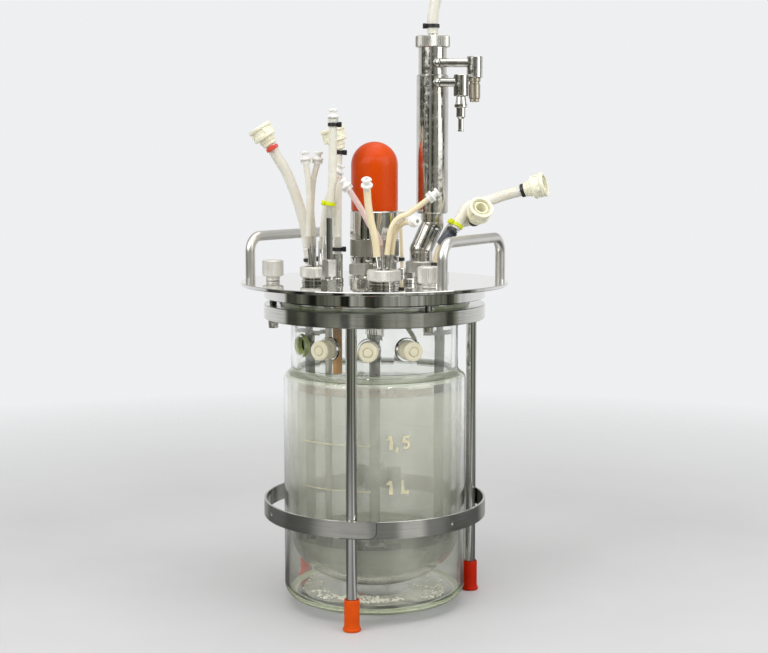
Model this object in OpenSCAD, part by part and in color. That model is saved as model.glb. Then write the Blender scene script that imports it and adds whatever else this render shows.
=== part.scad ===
// Bench bioreactor: jacketed glass vessel on a three-legged stand, with a clamped head plate that
// carries the stirrer drive, the exhaust condenser, the port fittings and their silicone hoses.
//
// Millimetres, +Z up. The origin is on the bench, on the vessel's axis. The front is -Y.
// Angles about the axis are measured from the front, towards +X.

/* [Vessel] */
// Bore of the inner vessel and of its neck
vessel_bore_d = 133; // [131:0.5:134]
// Wall of the inner vessel
glass_wall = 5; // [4.5:0.25:5.25]
// Water space between the inner vessel and the jacket's wall
jacket_gap = 3.5; // [3:0.5:4]
// How far the glass flange stands out from the neck
flange_lip = 9; // [8.5:0.5:9.5]
// Bore of the side ports
side_port_d = 14; // [12:0.5:14.5]

/* [Stand] */
// Height of the head plate's top face above the bench
deck_z = 278.5; // [272:0.5:290]
// Diameter of the legs
leg_d = 9.2; // [8.5:0.1:9.4]
// Height of the rubber feet
foot_h = 26.4; // [20:0.2:34]
// Height of the support band's lower edge
band_z = 78; // [60:1:120]

/* [Head plate] */
// How far the polished plate stands out from the clamp ring
plate_edge = 19.5; // [18.5:0.1:21.5]
// Thickness of the polished head plate
plate_t = 3; // [2.5:0.1:4]
// Diameter of the handle rods
handle_rod_d = 8.5; // [7:0.1:9]
// Height of the handles' centre line above the plate
handle_h = 37; // [32:0.5:45]

/* [Clamp] */
// Thread diameter of the clamp studs
stud_d = 6; // [5:0.1:6]
// Knurled diameter of the clamp nuts
clamp_nut_d = 18; // [15:0.5:19]

/* [Drive] */
// Diameter of the drive housing
drive_d = 41.4; // [40:0.2:44]
// Diameter of the stirrer shaft
shaft_d = 9.4; // [8:0.1:10]
// Diameter of the impellers
impeller_d = 46; // [38:1:56]
// Height of the silicone cap
cap_h = 58.1; // [50:0.1:64]

/* [Condenser] */
// Diameter of the condenser's main tube
condenser_d = 27; // [24:0.2:30]
// Length of the condenser's main tube
condenser_l = 116; // [100:0.1:130]

/* [Hidden] */

$fn = 64;
run_gap = 0.05;      // radial clearance of turning and sliding fits
face_gap = 0.25;     // clearance between the faces of pieces that move on each other
eps = 0.05;          // overshoot of cuts

// colours
steel = [0.78, 0.78, 0.77];
satin_steel = [0.66, 0.66, 0.65];
orange_silicone = [0.83, 0.23, 0.02];
clear_glass = [0.80, 0.86, 0.82, 0.45];
cream_silicone = [0.92, 0.88, 0.74];
hose_clear = [0.92, 0.91, 0.86];
tan_silicone = [0.86, 0.76, 0.56];

// ---- heights ----
disc_t = 10.3;                            // thicker disc under the polished plate
disc_top_z = deck_z - plate_t;
disc_z = disc_top_z - disc_t;
gasket_t = 2;
flange_top_z = disc_z - gasket_t;
flange_t = 11.2;
flange_z = flange_top_z - flange_t;
ring_seat_t = 4.3;                        // lip of the clamp ring under the glass flange
ring_z = flange_z - ring_seat_t;
ring_top_z = ring_z + 12.3;

// ---- vessel ----
bore_r = vessel_bore_d / 2;
neck_r = bore_r + glass_wall;
jacket_wall = 3;
jacket_r = neck_r + jacket_gap + jacket_wall;
flange_r = neck_r + flange_lip;
vessel_z = 7;                             // underside of the glass above the bench
base_t = 4;
base_corner_r = 10.5;
dish_z = vessel_z + 53;                   // where the straight wall becomes the dished bottom
dish_depth = 38;
dish_t = 5;
shoulder_z = flange_top_z - 68.2;         // start of the jacket's shoulder
shoulder_r = 7.5;
shoulder_bend = 60;
port_z = flange_top_z - 35.2;
port_angles = [-56.6, -30.7, -3.6, 20.9]; // the first port stays open
port_rim_d = side_port_d + 5.5;
port_face_r = neck_r + 2.3;
nozzle_d = 10;
nozzle_bore_d = 6;
nozzle_l = 22;
nozzle_places = [[172, dish_z - 30], [188, shoulder_z - 14]];   // [angle, height]

// ---- stand ----
leg_angles = [-12.1, 107.9, 227.9];       // front, right, left
leg_gap = 6.4;                            // between the legs and the jacket
leg_circle_r = jacket_r + leg_gap + leg_d / 2;
leg_spigot_d = 6;
leg_spigot_l = 8;
foot_d = 12.7;
foot_flare_d = 14.9;
foot_floor = 3;
band_h = 14.2;
band_t = 1.8;
band_r = leg_circle_r + leg_d / 2 + band_t;
lap_t = 1.2;
lap_angles = [-18.9, 0.6];
band_hole_angles = [-65.6, 41.6, 168];
ring_edge = 0.6;                          // ring outside the legs
ring_r = leg_circle_r + leg_d / 2 + ring_edge;

// ---- head plate ----
plate_r = ring_r + plate_edge;
stud_circle_r = flange_r + 6;
stud_angles = [30, 150, -90];             // front, rear, left
stud_hole_d = stud_d + 0.6;
stud_head_d = 9.2;
stud_head_h = 4.8;
stud_above = 11;                          // stud's end above the plate
handle_edge = 6.7;                        // plate's rim outside the handles' feet
handle_foot_r = plate_r - handle_edge;
handle_half_angle = 30.5;
handle_bend_r = 13;
handle_spigot_d = 5;
handle_angles = [60.5, 234];              // right, left

// ---- port places on the plate, [x, y] ----
left_port = [-49, -14.5];
front_port = [7.5, -52.5];
sample_port = [-37, -45];
blind_port = [-13, -36.5];
air_place = [-31, -20];
condenser_port = [39.5, 4];
small_plug_port = [29.5, -25];
barb_places = [[-55, 12], [50, -22], [59, 20], [24.5, 69]];
barb_d = [5.5, 2.6, 5.5, 2];
barb_h = [26, 11, 26, 14];

air_sleeve_l = 61;
air_sleeve_d = 7.8;
side_sleeve_d = 4.4;
side_nipple_place = [27, 20];
side_nipple_l = 14;
side_nipple_d = 2.4;
nipple_d = 5;
sleeve_start = 3;                         // below the lower face of the disc
baffle_drop = 30;                         // from the disc to the baffles' tabs
gland_nut_size = [11, 13.8, 7.3];         // across flats, height, height above the plate
blind_nut_size = [14, 8.6, 8.3];
insert_spigot_d = 16;
gland_spigot_d = 8;
barb_spigot_d = 5;
condenser_spigot_d = 16;
condenser_collar_d = 26;
condenser_collar_h = 13;
condenser_collar_z = 3.5;
drive_spigot_d = 16.3;

// ---- drive ----
drive_r = drive_d / 2;
drive_h = 59.1;
drive_neck_d = 35;
drive_neck_h = 14;
drive_cavity_d = 30;
drive_cavity_z = deck_z + 26;
shaft_r = shaft_d / 2;
shaft_end_z = 27.5;
hub_d = 22;
hub_z = deck_z + 40;
hub_h = 14;
spigot_end_z = disc_z - 30.7;
upper_impeller_z = 101.5;
lower_impeller_z = 33;
blade_h = 15.5;
cap_d = drive_neck_d + 4.7;

// ---- condenser ----
condenser_x = 48.9;                       // axis of the upright part
condenser_y = condenser_port[1];
elbow_z = [deck_z + 26, deck_z + 47.5];   // bends of the offset neck
neck_tube_d = 19.2;
condenser_z = deck_z + 57;
upper_tube_d = condenser_d - 3.2;
upper_tube_l = 22.5;
condenser_top_z = condenser_z + condenser_l + upper_tube_l;
arm_d = 7.4;
weld = 0.5;                               // how far a welded bend stands out round its tubes
arm_x = 53.2;
upper_arm = [83.4, -9, condenser_z + condenser_l + 9.3];
lower_arm = [72, -11.5, condenser_z + condenser_l - 6.9];
// upright socket at an arm's end: diameter, lower end and upper end from the arm's centre line
upper_socket = [13.4, -12.5, 5.2];
lower_socket = [12.4, -11.5, 6.4];
coolant_spigot_d = 7;
coolant_spigot_l = 5;

// ---- hoses: outside diameter and route, [x, y, height above the plate] ----
harvest_d = 9;
harvest_route = [[-55, 12, 13.5], [-56, 12, 21.5], [-59, 12, 41.5], [-63, 12, 58.5], [-69, 12, 76.5],
    [-76, 12, 93.5], [-84, 12, 106.5], [-88.5, 12, 114.5]];
feed_d = 5;
feed_1_route = [[-56, -17, 28.5], [-55.5, -17, 38.5], [-54.5, -17, 59.5], [-54.5, -17, 71.5],
    [-55.5, -17, 87.5], [-57, -17, 98.5]];
feed_2_route = [[-51.5, -10, 28.5], [-51.5, -10, 38.5], [-53, -10, 59.5], [-52.5, -10, 71.5],
    [-51, -10, 86.5], [-48, -10, 98.5]];
feed_3_route = [[-44, -21.5, 28.5], [-43.5, -24, 38.5], [-42, -28, 52.5], [-39.5, -31, 67.5],
    [-35.5, -32, 78.5], [-31.5, -32.5, 88.5]];
sample_d = 6.6;
sample_route = [[-37, -45, 55], [-36, -45, 68.5], [-34.5, -45, 83.5], [-34, -45, 105.5],
    [-33.5, -45, 132.5]];
air_d = 7.2;
air_route = [[-31, -20, 24.5], [-31, -20, 46.5], [-31, -20, 68.5], [-30.5, -20, 88.5],
    [-30.5, -20, 101.5], [-30, -20, 110.5]];
acid_d = 5;
acid_route = [[4.5, -48, 24.5], [4.5, -48, 34], [2.5, -48, 40], [-0.5, -48, 44.5], [-3.5, -48, 49],
    [-11, -48, 62.5], [-20.5, -48, 77.5]];
base_d = 6;
base_route = [[2, -58, 24], [0.5, -58, 37.5], [-3, -58, 53.5], [-5, -58, 65.5], [-6, -58, 78]];
medium_d = 4.4;
antifoam_route = [[10, -56, 25.5], [11.5, -56, 36.5], [13, -56, 45.5], [16.5, -56, 52.5],
    [20.5, -56, 56], [25.5, -56, 58], [31, -56, 61.5], [43, -56, 70.5]];
medium_route = [[14, -51, 25.5], [15.5, -50.5, 37.5], [18, -50, 45.5], [22.5, -52, 50.5], [29, -57, 52.5]];
bypass_d = 4.2;
bypass_route = [[50, -22, 5.5], [50, -21.5, 9.5], [50.5, -20, 16.5], [52, -20, 24.5],
    [54.5, -20, 30.5], [56, -20, 33]];
transfer_d = 9.2;
transfer_route = [[67, -20, 45], [69.5, -19, 49.5], [72.5, -15, 54.5], [75, -11, 59], [79, -6, 63],
    [88, 1, 65.5], [100.5, 1, 69], [110, -2, 72.5], [126.5, -8, 77]];
spare_d = 9;
spare_route = [[59, 20, 11.5], [59, 20, 21.5], [60, 18, 31.5], [64, 12, 41.5], [70, 4, 48],
    [77, -5, 50.5], [84.5, -14, 52.5]];
vent_thin_d = 3;
vent_thin_route = [[24.5, 69, 6], [24.5, 69, 13.5], [24, 69, 26.5], [23.5, 69, 39.5], [23.5, 69, 46.5]];
vent_d = 9.4;
vent_route = [[48.9, 4, 207], [48.9, 4, 219.5], [51.5, 4, 234.5], [56, 4, 249.5], [60.5, 4, 260.5]];

// couplings and luers: [kind, start, a point further along the axis]
fittings = [
    ["coupling", [-88.5, 12, 114.5], [-94, 12, 123]],
    ["coupling", [-30, -20, 110.5], [-33, -20, 120.5]],
    ["coupling", [126.5, -8, 77], [141, -13, 81.5]],
    ["coupling", [84.5, -14, 52.5], [88.5, -27, 63]],
    ["coupling", [60.5, 4, 260.5], [65, 4, 271]],
    ["luer", [-57, -17, 98.5], [-58, -17, 108.5]],
    ["luer", [-48, -10, 98.5], [-47, -10, 108.5]],
    ["luer", [-31.5, -32.5, 88.5], [-26.5, -32.5, 101.5]],
    ["luer", [-33.5, -45, 132.5], [-33.5, -45, 144]],
    ["luer", [-20.5, -48, 77.5], [-26, -48, 85]],
    ["luer", [-6, -58, 78], [-6.5, -64, 88]],
    ["luer", [43, -56, 70.5], [53, -56, 78]],
    ["luer", [29, -57, 52.5], [33.5, -64, 53]],
    ["luer", [23.5, 69, 46.5], [23.5, 69, 56]]
];
// dark rubber sleeve that joins the bypass hose to the transfer hose
sleeve_d = 8;
sleeve_route = [[55, -20, 31.5], [59.5, -20, 38], [66.5, -20, 44.5]];
// cable ties: [centre, a point further along the hose, hose diameter, angle of the head]
ties = [
    [[-55.5, 12, 17], [-56, 12, 21.5], 9, 180],
    [[-87, 12, 112], [-88.5, 12, 114.5], 9, 90],
    [[-36.3, -45, 66.5], [-36, -45, 68.5], 6.6, 180],
    [[-33.5, -45, 130.5], [-33.5, -45, 132.5], 6.6, 0],
    [[-31, -20, 28], [-31, -20, 46.5], 7.2, 0],
    [[-30.2, -20, 106], [-30, -20, 110.5], 7.2, 0],
    [[50.4, -20.3, 15], [50.5, -20, 16.5], 4.2, 0],
    [[64.5, -20, 42.6], [66.5, -20, 44.5], 8, 90],
    [[68.6, -19.4, 47.9], [69.5, -19, 49.5], 9.2, 180],
    [[125, -7.5, 76.6], [126.5, -8, 77], 9.2, 90],
    [[83.4, -12.7, 52.2], [84.5, -14, 52.5], 9, 90],
    [[24.5, 69, 13.5], [24.4, 69, 16], 3, 0],
    [[48.9, 4, 213.5], [48.9, 4, 219.5], 9.4, 180]
];
tie_w = 4;
tie_t = 1.2;

// ---- helpers ----
function polar_points(centre, r, from, to, n = 10) =
    [for (i = [0:n]) let (a = from + (to - from) * i / n) centre + r * [cos(a), sin(a)]];
function ellipse_points(centre, rx, ry, from, to, n = 16) =
    [for (i = [0:n]) let (a = from + (to - from) * i / n) centre + [rx * cos(a), ry * sin(a)]];
function knurl_points(r, teeth, depth) =
    [for (i = [0:2 * teeth - 1]) let (a = 180 * i / teeth, q = r - (i % 2) * depth) q * [cos(a), sin(a)]];
function unit(v) = v / norm(v);

// places children at radius r and angle th, with local -Y pointing outwards
module around(th, r = 0, z = 0) {
    rotate([0, 0, th]) translate([0, -r, z]) children();
}

module on_deck(place = [0, 0], h = 0) {
    translate([place[0], place[1], deck_z + h]) children();
}

// a cylinder along the outward radius at angle th, from radius r0 to r1
module radial_rod(d, th, r0, r1, z) {
    around(th, r0, z) rotate([90, 0, 0]) cylinder(d = d, h = r1 - r0);
}

// places children at p with local +Z pointing at q
module aim(p, q) {
    v = q - p;
    translate(p) rotate([0, acos(v[2] / norm(v)), atan2(v[1], v[0])]) children();
}

module rod(p, q, d) {
    aim(p, q) cylinder(d = d, h = norm(q - p));
}

module hex_bar(across, h) {
    cylinder(d = across / cos(30), h = h, $fn = 6);
}

module knurled(d, h, teeth, depth = 0.4) {
    linear_extrude(height = h) polygon(knurl_points(d / 2, teeth, depth));
}

module chamfered(d, h, c) {
    rotate_extrude() polygon([[0, 0], [d / 2 - c, 0], [d / 2, c], [d / 2, h - c], [d / 2 - c, h], [0, h]]);
}

// turned ring: bore, outside, height and edge chamfer
module ring(bore, outer, h, c) {
    rotate_extrude() polygon([[bore / 2, 0], [outer / 2 - c, 0], [outer / 2, c], [outer / 2, h - c],
        [outer / 2 - c, h], [bore / 2, h]]);
}

// hose: one closed tube swept along a route that stays close to a plane of constant y
function tangent(route, i) =
    i == 0 ? unit(route[1] - route[0]) :
    i == len(route) - 1 ? unit(route[i] - route[i - 1]) :
    unit(unit(route[i] - route[i - 1]) + unit(route[i + 1] - route[i]));
function hose_ring(centre, t, r, sides) =
    let (u = unit(cross([0, 1, 0], t)), v = cross(t, u))
    [for (k = [0:sides - 1]) centre + r * (cos(360 * k / sides) * u + sin(360 * k / sides) * v)];
module hose(route, d, colour = hose_clear, sides = 10) {
    last = len(route) - 1;
    points = [for (i = [0:last]) each hose_ring(route[i], tangent(route, i), d / 2, sides)];
    first_cap = [for (k = [0:sides - 1]) k];
    last_cap = [for (k = [sides - 1:-1:0]) last * sides + k];
    walls = [for (i = [0:last - 1], k = [0:sides - 1]) let (a = i * sides + k, b = i * sides + (k + 1) % sides)
        each [[a, a + sides, b], [b, a + sides, b + sides]]];
    color(colour) on_deck() polyhedron(points, concat([first_cap, last_cap], walls));
}

// ---- glass ----
function shoulder_outline() =
    let (bend_x = jacket_r - shoulder_r * (1 - cos(shoulder_bend)),
        bend_z = shoulder_z + shoulder_r * sin(shoulder_bend),
        inner_r = (bend_x - neck_r) / (1 - cos(shoulder_bend)))
    concat(polar_points([jacket_r - shoulder_r, shoulder_z], shoulder_r, 0, shoulder_bend, 6),
        polar_points([neck_r + inner_r, bend_z + inner_r * sin(shoulder_bend)], inner_r,
            180 + shoulder_bend, 180, 6));

// inner vessel: dished bottom, straight wall, neck and flange, with the side ports
module glass_vessel() {
    color(clear_glass) difference() {
        union() {
            rotate_extrude($fn = 128) polygon(concat(
                ellipse_points([0, dish_z], neck_r, dish_depth + dish_t, -90, 0),
                [[neck_r, flange_z - 2.5], [neck_r + 1.4, flange_z], [flange_r - 0.6, flange_z],
                    [flange_r, flange_z + 0.6], [flange_r, flange_top_z - 1.2],
                    [flange_r - 1.2, flange_top_z], [bore_r, flange_top_z]],
                ellipse_points([0, dish_z], bore_r, dish_depth, 0, -90)));
            for (th = port_angles) radial_rod(port_rim_d, th, bore_r + 2, port_face_r, port_z);
        }
        for (th = port_angles) radial_rod(side_port_d, th, bore_r - 8, port_face_r + 1, port_z);
    }
}

// water jacket: base, outer wall and the shoulder that is fused to the neck
module water_jacket() {
    inner_r = shoulder_r - jacket_wall;
    top_angle = acos((neck_r - jacket_r + shoulder_r) / inner_r);
    corner_r = base_corner_r - jacket_wall;
    color(clear_glass) difference() {
        rotate_extrude($fn = 128) polygon(concat(
            [[0, vessel_z]],
            polar_points([jacket_r - base_corner_r, vessel_z + base_corner_r], base_corner_r, -90, 0),
            shoulder_outline(),
            polar_points([jacket_r - shoulder_r, shoulder_z], inner_r, top_angle, 0, 6),
            polar_points([jacket_r - base_corner_r, vessel_z + base_t + corner_r], corner_r, 0, -90),
            [[0, vessel_z + base_t]]));
        for (n = nozzle_places) radial_rod(nozzle_d, n[0], neck_r + 0.5, jacket_r + 1, n[1]);
    }
}

// two straight water nozzles at the back, fused into the jacket
module jacket_nozzles() {
    color(clear_glass) for (n = nozzle_places) difference() {
        radial_rod(nozzle_d, n[0], jacket_r - jacket_wall, jacket_r + nozzle_l, n[1]);
        radial_rod(nozzle_bore_d, n[0], neck_r + 0.5, jacket_r + nozzle_l + 1, n[1]);
    }
}

// ---- stand ----
module clamp_ring() {
    seat_r = neck_r + 1.5;
    recess_r = flange_r + 0.5;
    c = 0.6;
    color(steel) difference() {
        rotate_extrude($fn = 128) polygon([[seat_r, ring_z], [ring_r - c, ring_z], [ring_r, ring_z + c],
            [ring_r, ring_top_z - c], [ring_r - c, ring_top_z], [recess_r, ring_top_z],
            [recess_r, flange_z], [seat_r, flange_z]]);
        for (th = stud_angles) around(th, stud_circle_r, ring_z - eps)
            cylinder(d = stud_hole_d, h = ring_top_z - ring_z + 2 * eps);
        for (th = leg_angles) around(th, leg_circle_r, ring_z - eps)
            cylinder(d = leg_spigot_d, h = leg_spigot_l + eps);
    }
}

module support_band() {
    lap_span = lap_angles[1] - lap_angles[0];
    corner = 5;
    color(steel) difference() {
        union() {
            translate([0, 0, band_z]) ring(2 * (band_r - band_t - 0.1), 2 * band_r, band_h, 0.2, $fn = 128);
            difference() {
                rotate([0, 0, lap_angles[0] - 90]) rotate_extrude(angle = lap_span, $fn = 128)
                    translate([band_r - 0.4, band_z]) square([lap_t + 0.4, band_h]);
                around(lap_angles[1], band_r, band_z) rotate([90, 0, 0]) difference() {
                    translate([-corner, -eps, eps]) cube([corner + eps, corner + eps, 3]);
                    translate([-corner, corner, -1]) cylinder(r = corner, h = 6);
                }
            }
        }
        for (th = band_hole_angles) radial_rod(3.4, th, band_r - 6, band_r + 4, band_z + band_h / 2);
    }
}

module leg(th) {
    color(steel) around(th, leg_circle_r) {
        translate([0, 0, foot_floor]) cylinder(d = leg_d, h = ring_z - foot_floor);
        translate([0, 0, ring_z]) cylinder(d = leg_spigot_d, h = leg_spigot_l);
    }
}

module foot(th) {
    flare_h = 7;
    cup = 1.1;
    color(orange_silicone) around(th, leg_circle_r) rotate_extrude() polygon(concat(
        [[0, 0], [foot_flare_d / 2 - 0.8, 0], [foot_flare_d / 2, 0.8], [foot_flare_d / 2, 2]],
        ellipse_points([foot_flare_d / 2, flare_h], (foot_flare_d - foot_d) / 2, flare_h - 2, 250, 180, 5),
        [[foot_d / 2, foot_h - 0.8], [foot_d / 2 - 0.4, foot_h], [leg_d / 2 + cup, foot_h],
            [leg_d / 2, foot_h - 1.6], [leg_d / 2, foot_floor], [0, foot_floor]]));
}

// ---- head ----
module lid_gasket() {
    color([0.15, 0.15, 0.14]) translate([0, 0, flange_top_z])
        ring(2 * bore_r + 3, 2 * bore_r + 16, gasket_t, 0.4, $fn = 128);
}

module plate_holes() {
    cut = disc_t + plate_t + 2;
    translate([0, 0, disc_z - 1]) {
        for (place = [left_port, front_port]) translate(place) cylinder(d = insert_spigot_d, h = cut);
        for (place = [sample_port, blind_port, air_place]) translate(place)
            cylinder(d = gland_spigot_d, h = cut);
        for (place = concat(barb_places, [small_plug_port])) translate(place)
            cylinder(d = barb_spigot_d, h = cut);
        translate(condenser_port) cylinder(d = condenser_spigot_d, h = cut);
        cylinder(d = drive_spigot_d, h = cut);
        for (th = stud_angles) around(th, stud_circle_r) cylinder(d = stud_hole_d, h = cut);
        for (mid = handle_angles, side = [-1, 1]) around(mid + side * handle_half_angle, handle_foot_r)
            cylinder(d = handle_spigot_d, h = cut);
    }
}

module head_plate() {
    c = 0.5;
    color(steel) difference() {
        rotate_extrude($fn = 128) polygon([[0, disc_z], [ring_r - c, disc_z], [ring_r, disc_z + c],
            [ring_r, disc_top_z], [plate_r - c, disc_top_z], [plate_r, disc_top_z + c],
            [plate_r, deck_z - c], [plate_r - c, deck_z], [0, deck_z]]);
        plate_holes();
    }
}

// bent rod with a spigot on each foot
module handle(mid) {
    half = handle_foot_r * sin(handle_half_angle);
    depth = handle_foot_r * cos(handle_half_angle);
    rise = handle_h - handle_bend_r;
    color(satin_steel) around(mid, depth, deck_z) {
        for (side = [-1, 1]) translate([side * half, 0, 0]) {
            cylinder(d = handle_rod_d, h = rise);
            translate([0, 0, -plate_t]) cylinder(d = handle_spigot_d, h = plate_t);
            translate([-side * handle_bend_r, 0, rise]) rotate([90, 0, side > 0 ? 0 : 180])
                rotate_extrude(angle = 90) translate([handle_bend_r, 0]) circle(d = handle_rod_d);
        }
        translate([-half + handle_bend_r, 0, handle_h]) rotate([0, 90, 0])
            cylinder(d = handle_rod_d, h = 2 * (half - handle_bend_r));
    }
}

// hexagon-socket screws pushed up through the ring and the plate
module clamp_studs() {
    color(satin_steel) for (th = stud_angles) around(th, stud_circle_r, ring_z) difference() {
        union() {
            translate([0, 0, -stud_head_h]) chamfered(stud_head_d, stud_head_h, 0.5);
            cylinder(d = stud_d, h = deck_z - ring_z + stud_above);
        }
        translate([0, 0, -stud_head_h - eps]) hex_bar(5, 2.8);
    }
}

module clamp_nut(th) {
    neck_h = 4.1;
    body_h = 13.4;
    color(satin_steel) around(th, stud_circle_r, deck_z + face_gap) difference() {
        union() {
            chamfered(12, 1.8, 0.3);
            translate([0, 0, 1.6]) cylinder(d = 10.6, h = 0.8);
            translate([0, 0, 2.2]) chamfered(12, neck_h - 2, 0.3);
            translate([0, 0, neck_h - face_gap]) intersection() {
                knurled(clamp_nut_d, body_h, 40);
                chamfered(clamp_nut_d + 0.2, body_h, 1.0);
            }
        }
        translate([0, 0, -eps]) cylinder(r = stud_d / 2 + run_gap, h = stud_above + 1);
    }
}

// ---- inside the vessel ----
// two blades, each hung from the plate by a rod with a tab
module baffle_cage() {
    blade_x = 55.5;
    blade_w = 8.5;
    tab = [24, 10, 4.4];
    tab_outside = 10;                     // of the tab's length, outside the rod's axis
    tab_z = disc_z - baffle_drop;
    color(steel) for (side = [0, 180]) rotate([0, 0, side]) {
        translate([blade_x, 0, tab_z]) cylinder(d = 6, h = disc_z - tab_z);
        translate([blade_x + tab_outside - tab[0], -tab[1] / 2, tab_z]) cube(tab);
        translate([blade_x - 1, 0, tab_z - 5]) hex_bar(6, 5);
        translate([blade_x - blade_w / 2, -1, dish_z - 6]) cube([blade_w, 2, tab_z - dish_z + 6]);
    }
}

module stirrer_shaft() {
    color(steel) {
        translate([0, 0, shaft_end_z]) cylinder(d = shaft_d, h = hub_z - shaft_end_z);
        translate([0, 0, spigot_end_z - 5]) chamfered(shaft_d + 4, 5 - face_gap, 0.5);
        translate([0, 0, hub_z]) difference() {
            chamfered(hub_d, hub_h, 1);
            for (turn = [0, 90]) rotate([0, 0, turn]) translate([-hub_d, -2.5, hub_h - 5])
                cube([2 * hub_d, 5, 6]);
        }
    }
}

// disc turbine with six flat blades on a hub
module impeller(z) {
    blade_l = impeller_d * 0.27;
    hub_r = shaft_r + 4;
    disc_r = impeller_d * 0.36;
    color(steel) translate([0, 0, z]) difference() {
        union() {
            cylinder(r = hub_r, h = blade_h);
            translate([0, 0, blade_h / 2 - 0.75]) cylinder(r = disc_r, h = 1.5);
            for (k = [0:5]) rotate([0, 0, 60 * k + 12])
                translate([impeller_d / 2 - blade_l, -0.75, 0]) cube([blade_l, 1.5, blade_h]);
        }
        translate([0, 0, -1]) cylinder(d = shaft_d, h = blade_h + 2);
        translate([0, 0, 3.5]) rotate([-90, 0, 0]) cylinder(d = 3, h = hub_r + 1);
    }
}

module sampling_pipe() {
    pipe_d = 5.4;
    top = deck_z + 64.5;
    color(steel) translate(sample_port) difference() {
        union() {
            translate([0, 0, 44]) cylinder(d = pipe_d, h = top - 44);
            translate([0, 0, deck_z + 38]) cylinder(d = pipe_d + 0.8, h = 1);
        }
        translate([0, 0, 43]) cylinder(d = 3.4, h = top - 42);
    }
}

module sleeve(p, q, outer, bore) {
    aim(p, q) difference() {
        cylinder(d = outer, h = norm(q - p));
        translate([0, 0, -eps]) cylinder(d = bore, h = norm(q - p) + 2 * eps);
    }
}

// short lengths of hose pushed on under the plate: amber on the air port, cream beside the shaft
module inner_sleeves() {
    x = air_place[0];
    y = air_place[1];
    top = disc_z - sleeve_start;
    knee = [side_nipple_place[0], side_nipple_place[1], top - 18];
    color([0.62, 0.38, 0.12]) sleeve([x, y, top - air_sleeve_l], [x, y, top], air_sleeve_d, nipple_d);
    color(cream_silicone) {
        sleeve(knee, [knee[0], knee[1], top], side_sleeve_d, side_nipple_d);
        sleeve(knee + [9.5, 0, -21], knee + [0.2, 0, -0.2], side_sleeve_d, side_nipple_d);
    }
}

// ---- drive ----
module drive_housing() {
    c = 0.8;
    band_z0 = deck_z + 21.4;
    color(steel) difference() {
        union() {
            on_deck() rotate_extrude($fn = 96) polygon([[0, 0], [drive_r + 1.3, 0], [drive_r + 1.3, 4],
                [drive_r - 1.5, 4.8], [drive_r - 1.5, 15.5], [drive_r - c, 15.5], [drive_r, 15.5 + c],
                [drive_r, 20], [drive_r - 1.2, 20.6], [drive_r - 1.2, 36], [drive_r, 36.4],
                [drive_r, drive_h - c], [drive_r - c, drive_h], [drive_neck_d / 2, drive_h],
                [drive_neck_d / 2, drive_h + drive_neck_h - 1],
                [drive_neck_d / 2 - 1, drive_h + drive_neck_h], [0, drive_h + drive_neck_h]]);
            translate([0, 0, band_z0]) knurled(drive_d, 13.7, 60, 0.35);
            translate([0, 0, spigot_end_z]) cylinder(d = drive_spigot_d, h = deck_z - spigot_end_z + 1);
        }
        translate([0, 0, drive_cavity_z]) cylinder(d = drive_cavity_d, h = 60);
        translate([0, 0, spigot_end_z - 1]) cylinder(r = shaft_r + run_gap, h = 80);
    }
}

module drive_cap() {
    dome_r = cap_d / 2;
    wall = (cap_d - drive_neck_d) / 2 - run_gap;
    color(orange_silicone) translate([0, 0, deck_z + drive_h + face_gap]) rotate_extrude($fn = 96)
        polygon(concat([[dome_r - wall, 0], [dome_r - 0.6, 0], [dome_r, 0.6]],
            polar_points([0, cap_h - dome_r], dome_r, 0, 90, 14),
            polar_points([0, cap_h - dome_r], dome_r - wall, 90, 0, 14)));
}

// ---- multi-port inserts: a threaded neck with four fanned pipes, and the collar around it ----
neck_d = 20;
collar_z = 4.4;
collar_h = 8.8;
collar_d = 27.5;

// thin pipe drawn out between two level discs
module leaning_pipe(foot, tip, d) {
    hull() for (end = [foot, tip]) translate(end) cylinder(d = d, h = 0.1, $fn = 24);
}

module port_insert(place, pipes, pipe_d) {
    color(steel) {
        on_deck(place) {
            translate([0, 0, -plate_t - disc_t]) cylinder(d = insert_spigot_d, h = plate_t + disc_t);
            chamfered(24.6, 2.2, 0.4);
            cylinder(d = 21.6, h = 2.8);
            translate([0, 0, 2.5]) chamfered(24, 1.6, 0.3);
            cylinder(d = neck_d, h = collar_z + collar_h - 1);
        }
        for (p = pipes) on_deck() leaning_pipe([p[0], p[1], 8], [p[2], p[3], p[4]], pipe_d);
    }
}

module collar(place, d, h, bore, z, teeth = 56) {
    color(satin_steel) on_deck(place, z) difference() {
        intersection() {
            knurled(d, h, teeth, 0.35);
            chamfered(d + 0.2, h, 1.1);
        }
        translate([0, 0, -eps]) cylinder(d = bore, h = h + 1);
    }
}

// pipes as [foot x, foot y, tip x, tip y, tip height]
left_pipes = [[-53, -16, -55.5, -17, 38.5], [-50.5, -12.5, -51.5, -10, 38.5],
    [-45.5, -17.5, -43.3, -24, 38.5], [-46, -12, -45.5, -9, 34]];
front_pipes = [[5.5, -50.5, 4.5, -48, 33], [4.2, -55.2, 1.3, -58, 31], [8.8, -55, 10.8, -56, 33],
    [11.5, -51.8, 14.7, -50.8, 33]];

// ---- glands ----
gland_body_hex = 13;
gland_neck_d = 9;
gland_neck_h = 13;

module gland_body(place, through) {
    on_deck(place) difference() {
        union() {
            rotate([0, 0, 20]) intersection() {
                hex_bar(gland_body_hex, 5);
                chamfered(gland_body_hex / cos(30) + 0.2, 5, 0.7);
            }
            cylinder(d = gland_neck_d, h = gland_neck_h);
            translate([0, 0, -plate_t - disc_t]) cylinder(d = gland_spigot_d, h = plate_t + disc_t);
        }
        if (through) translate([0, 0, -plate_t - disc_t - 1])
            cylinder(d = 5.4, h = plate_t + disc_t + gland_neck_h + 2);
    }
}

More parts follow.
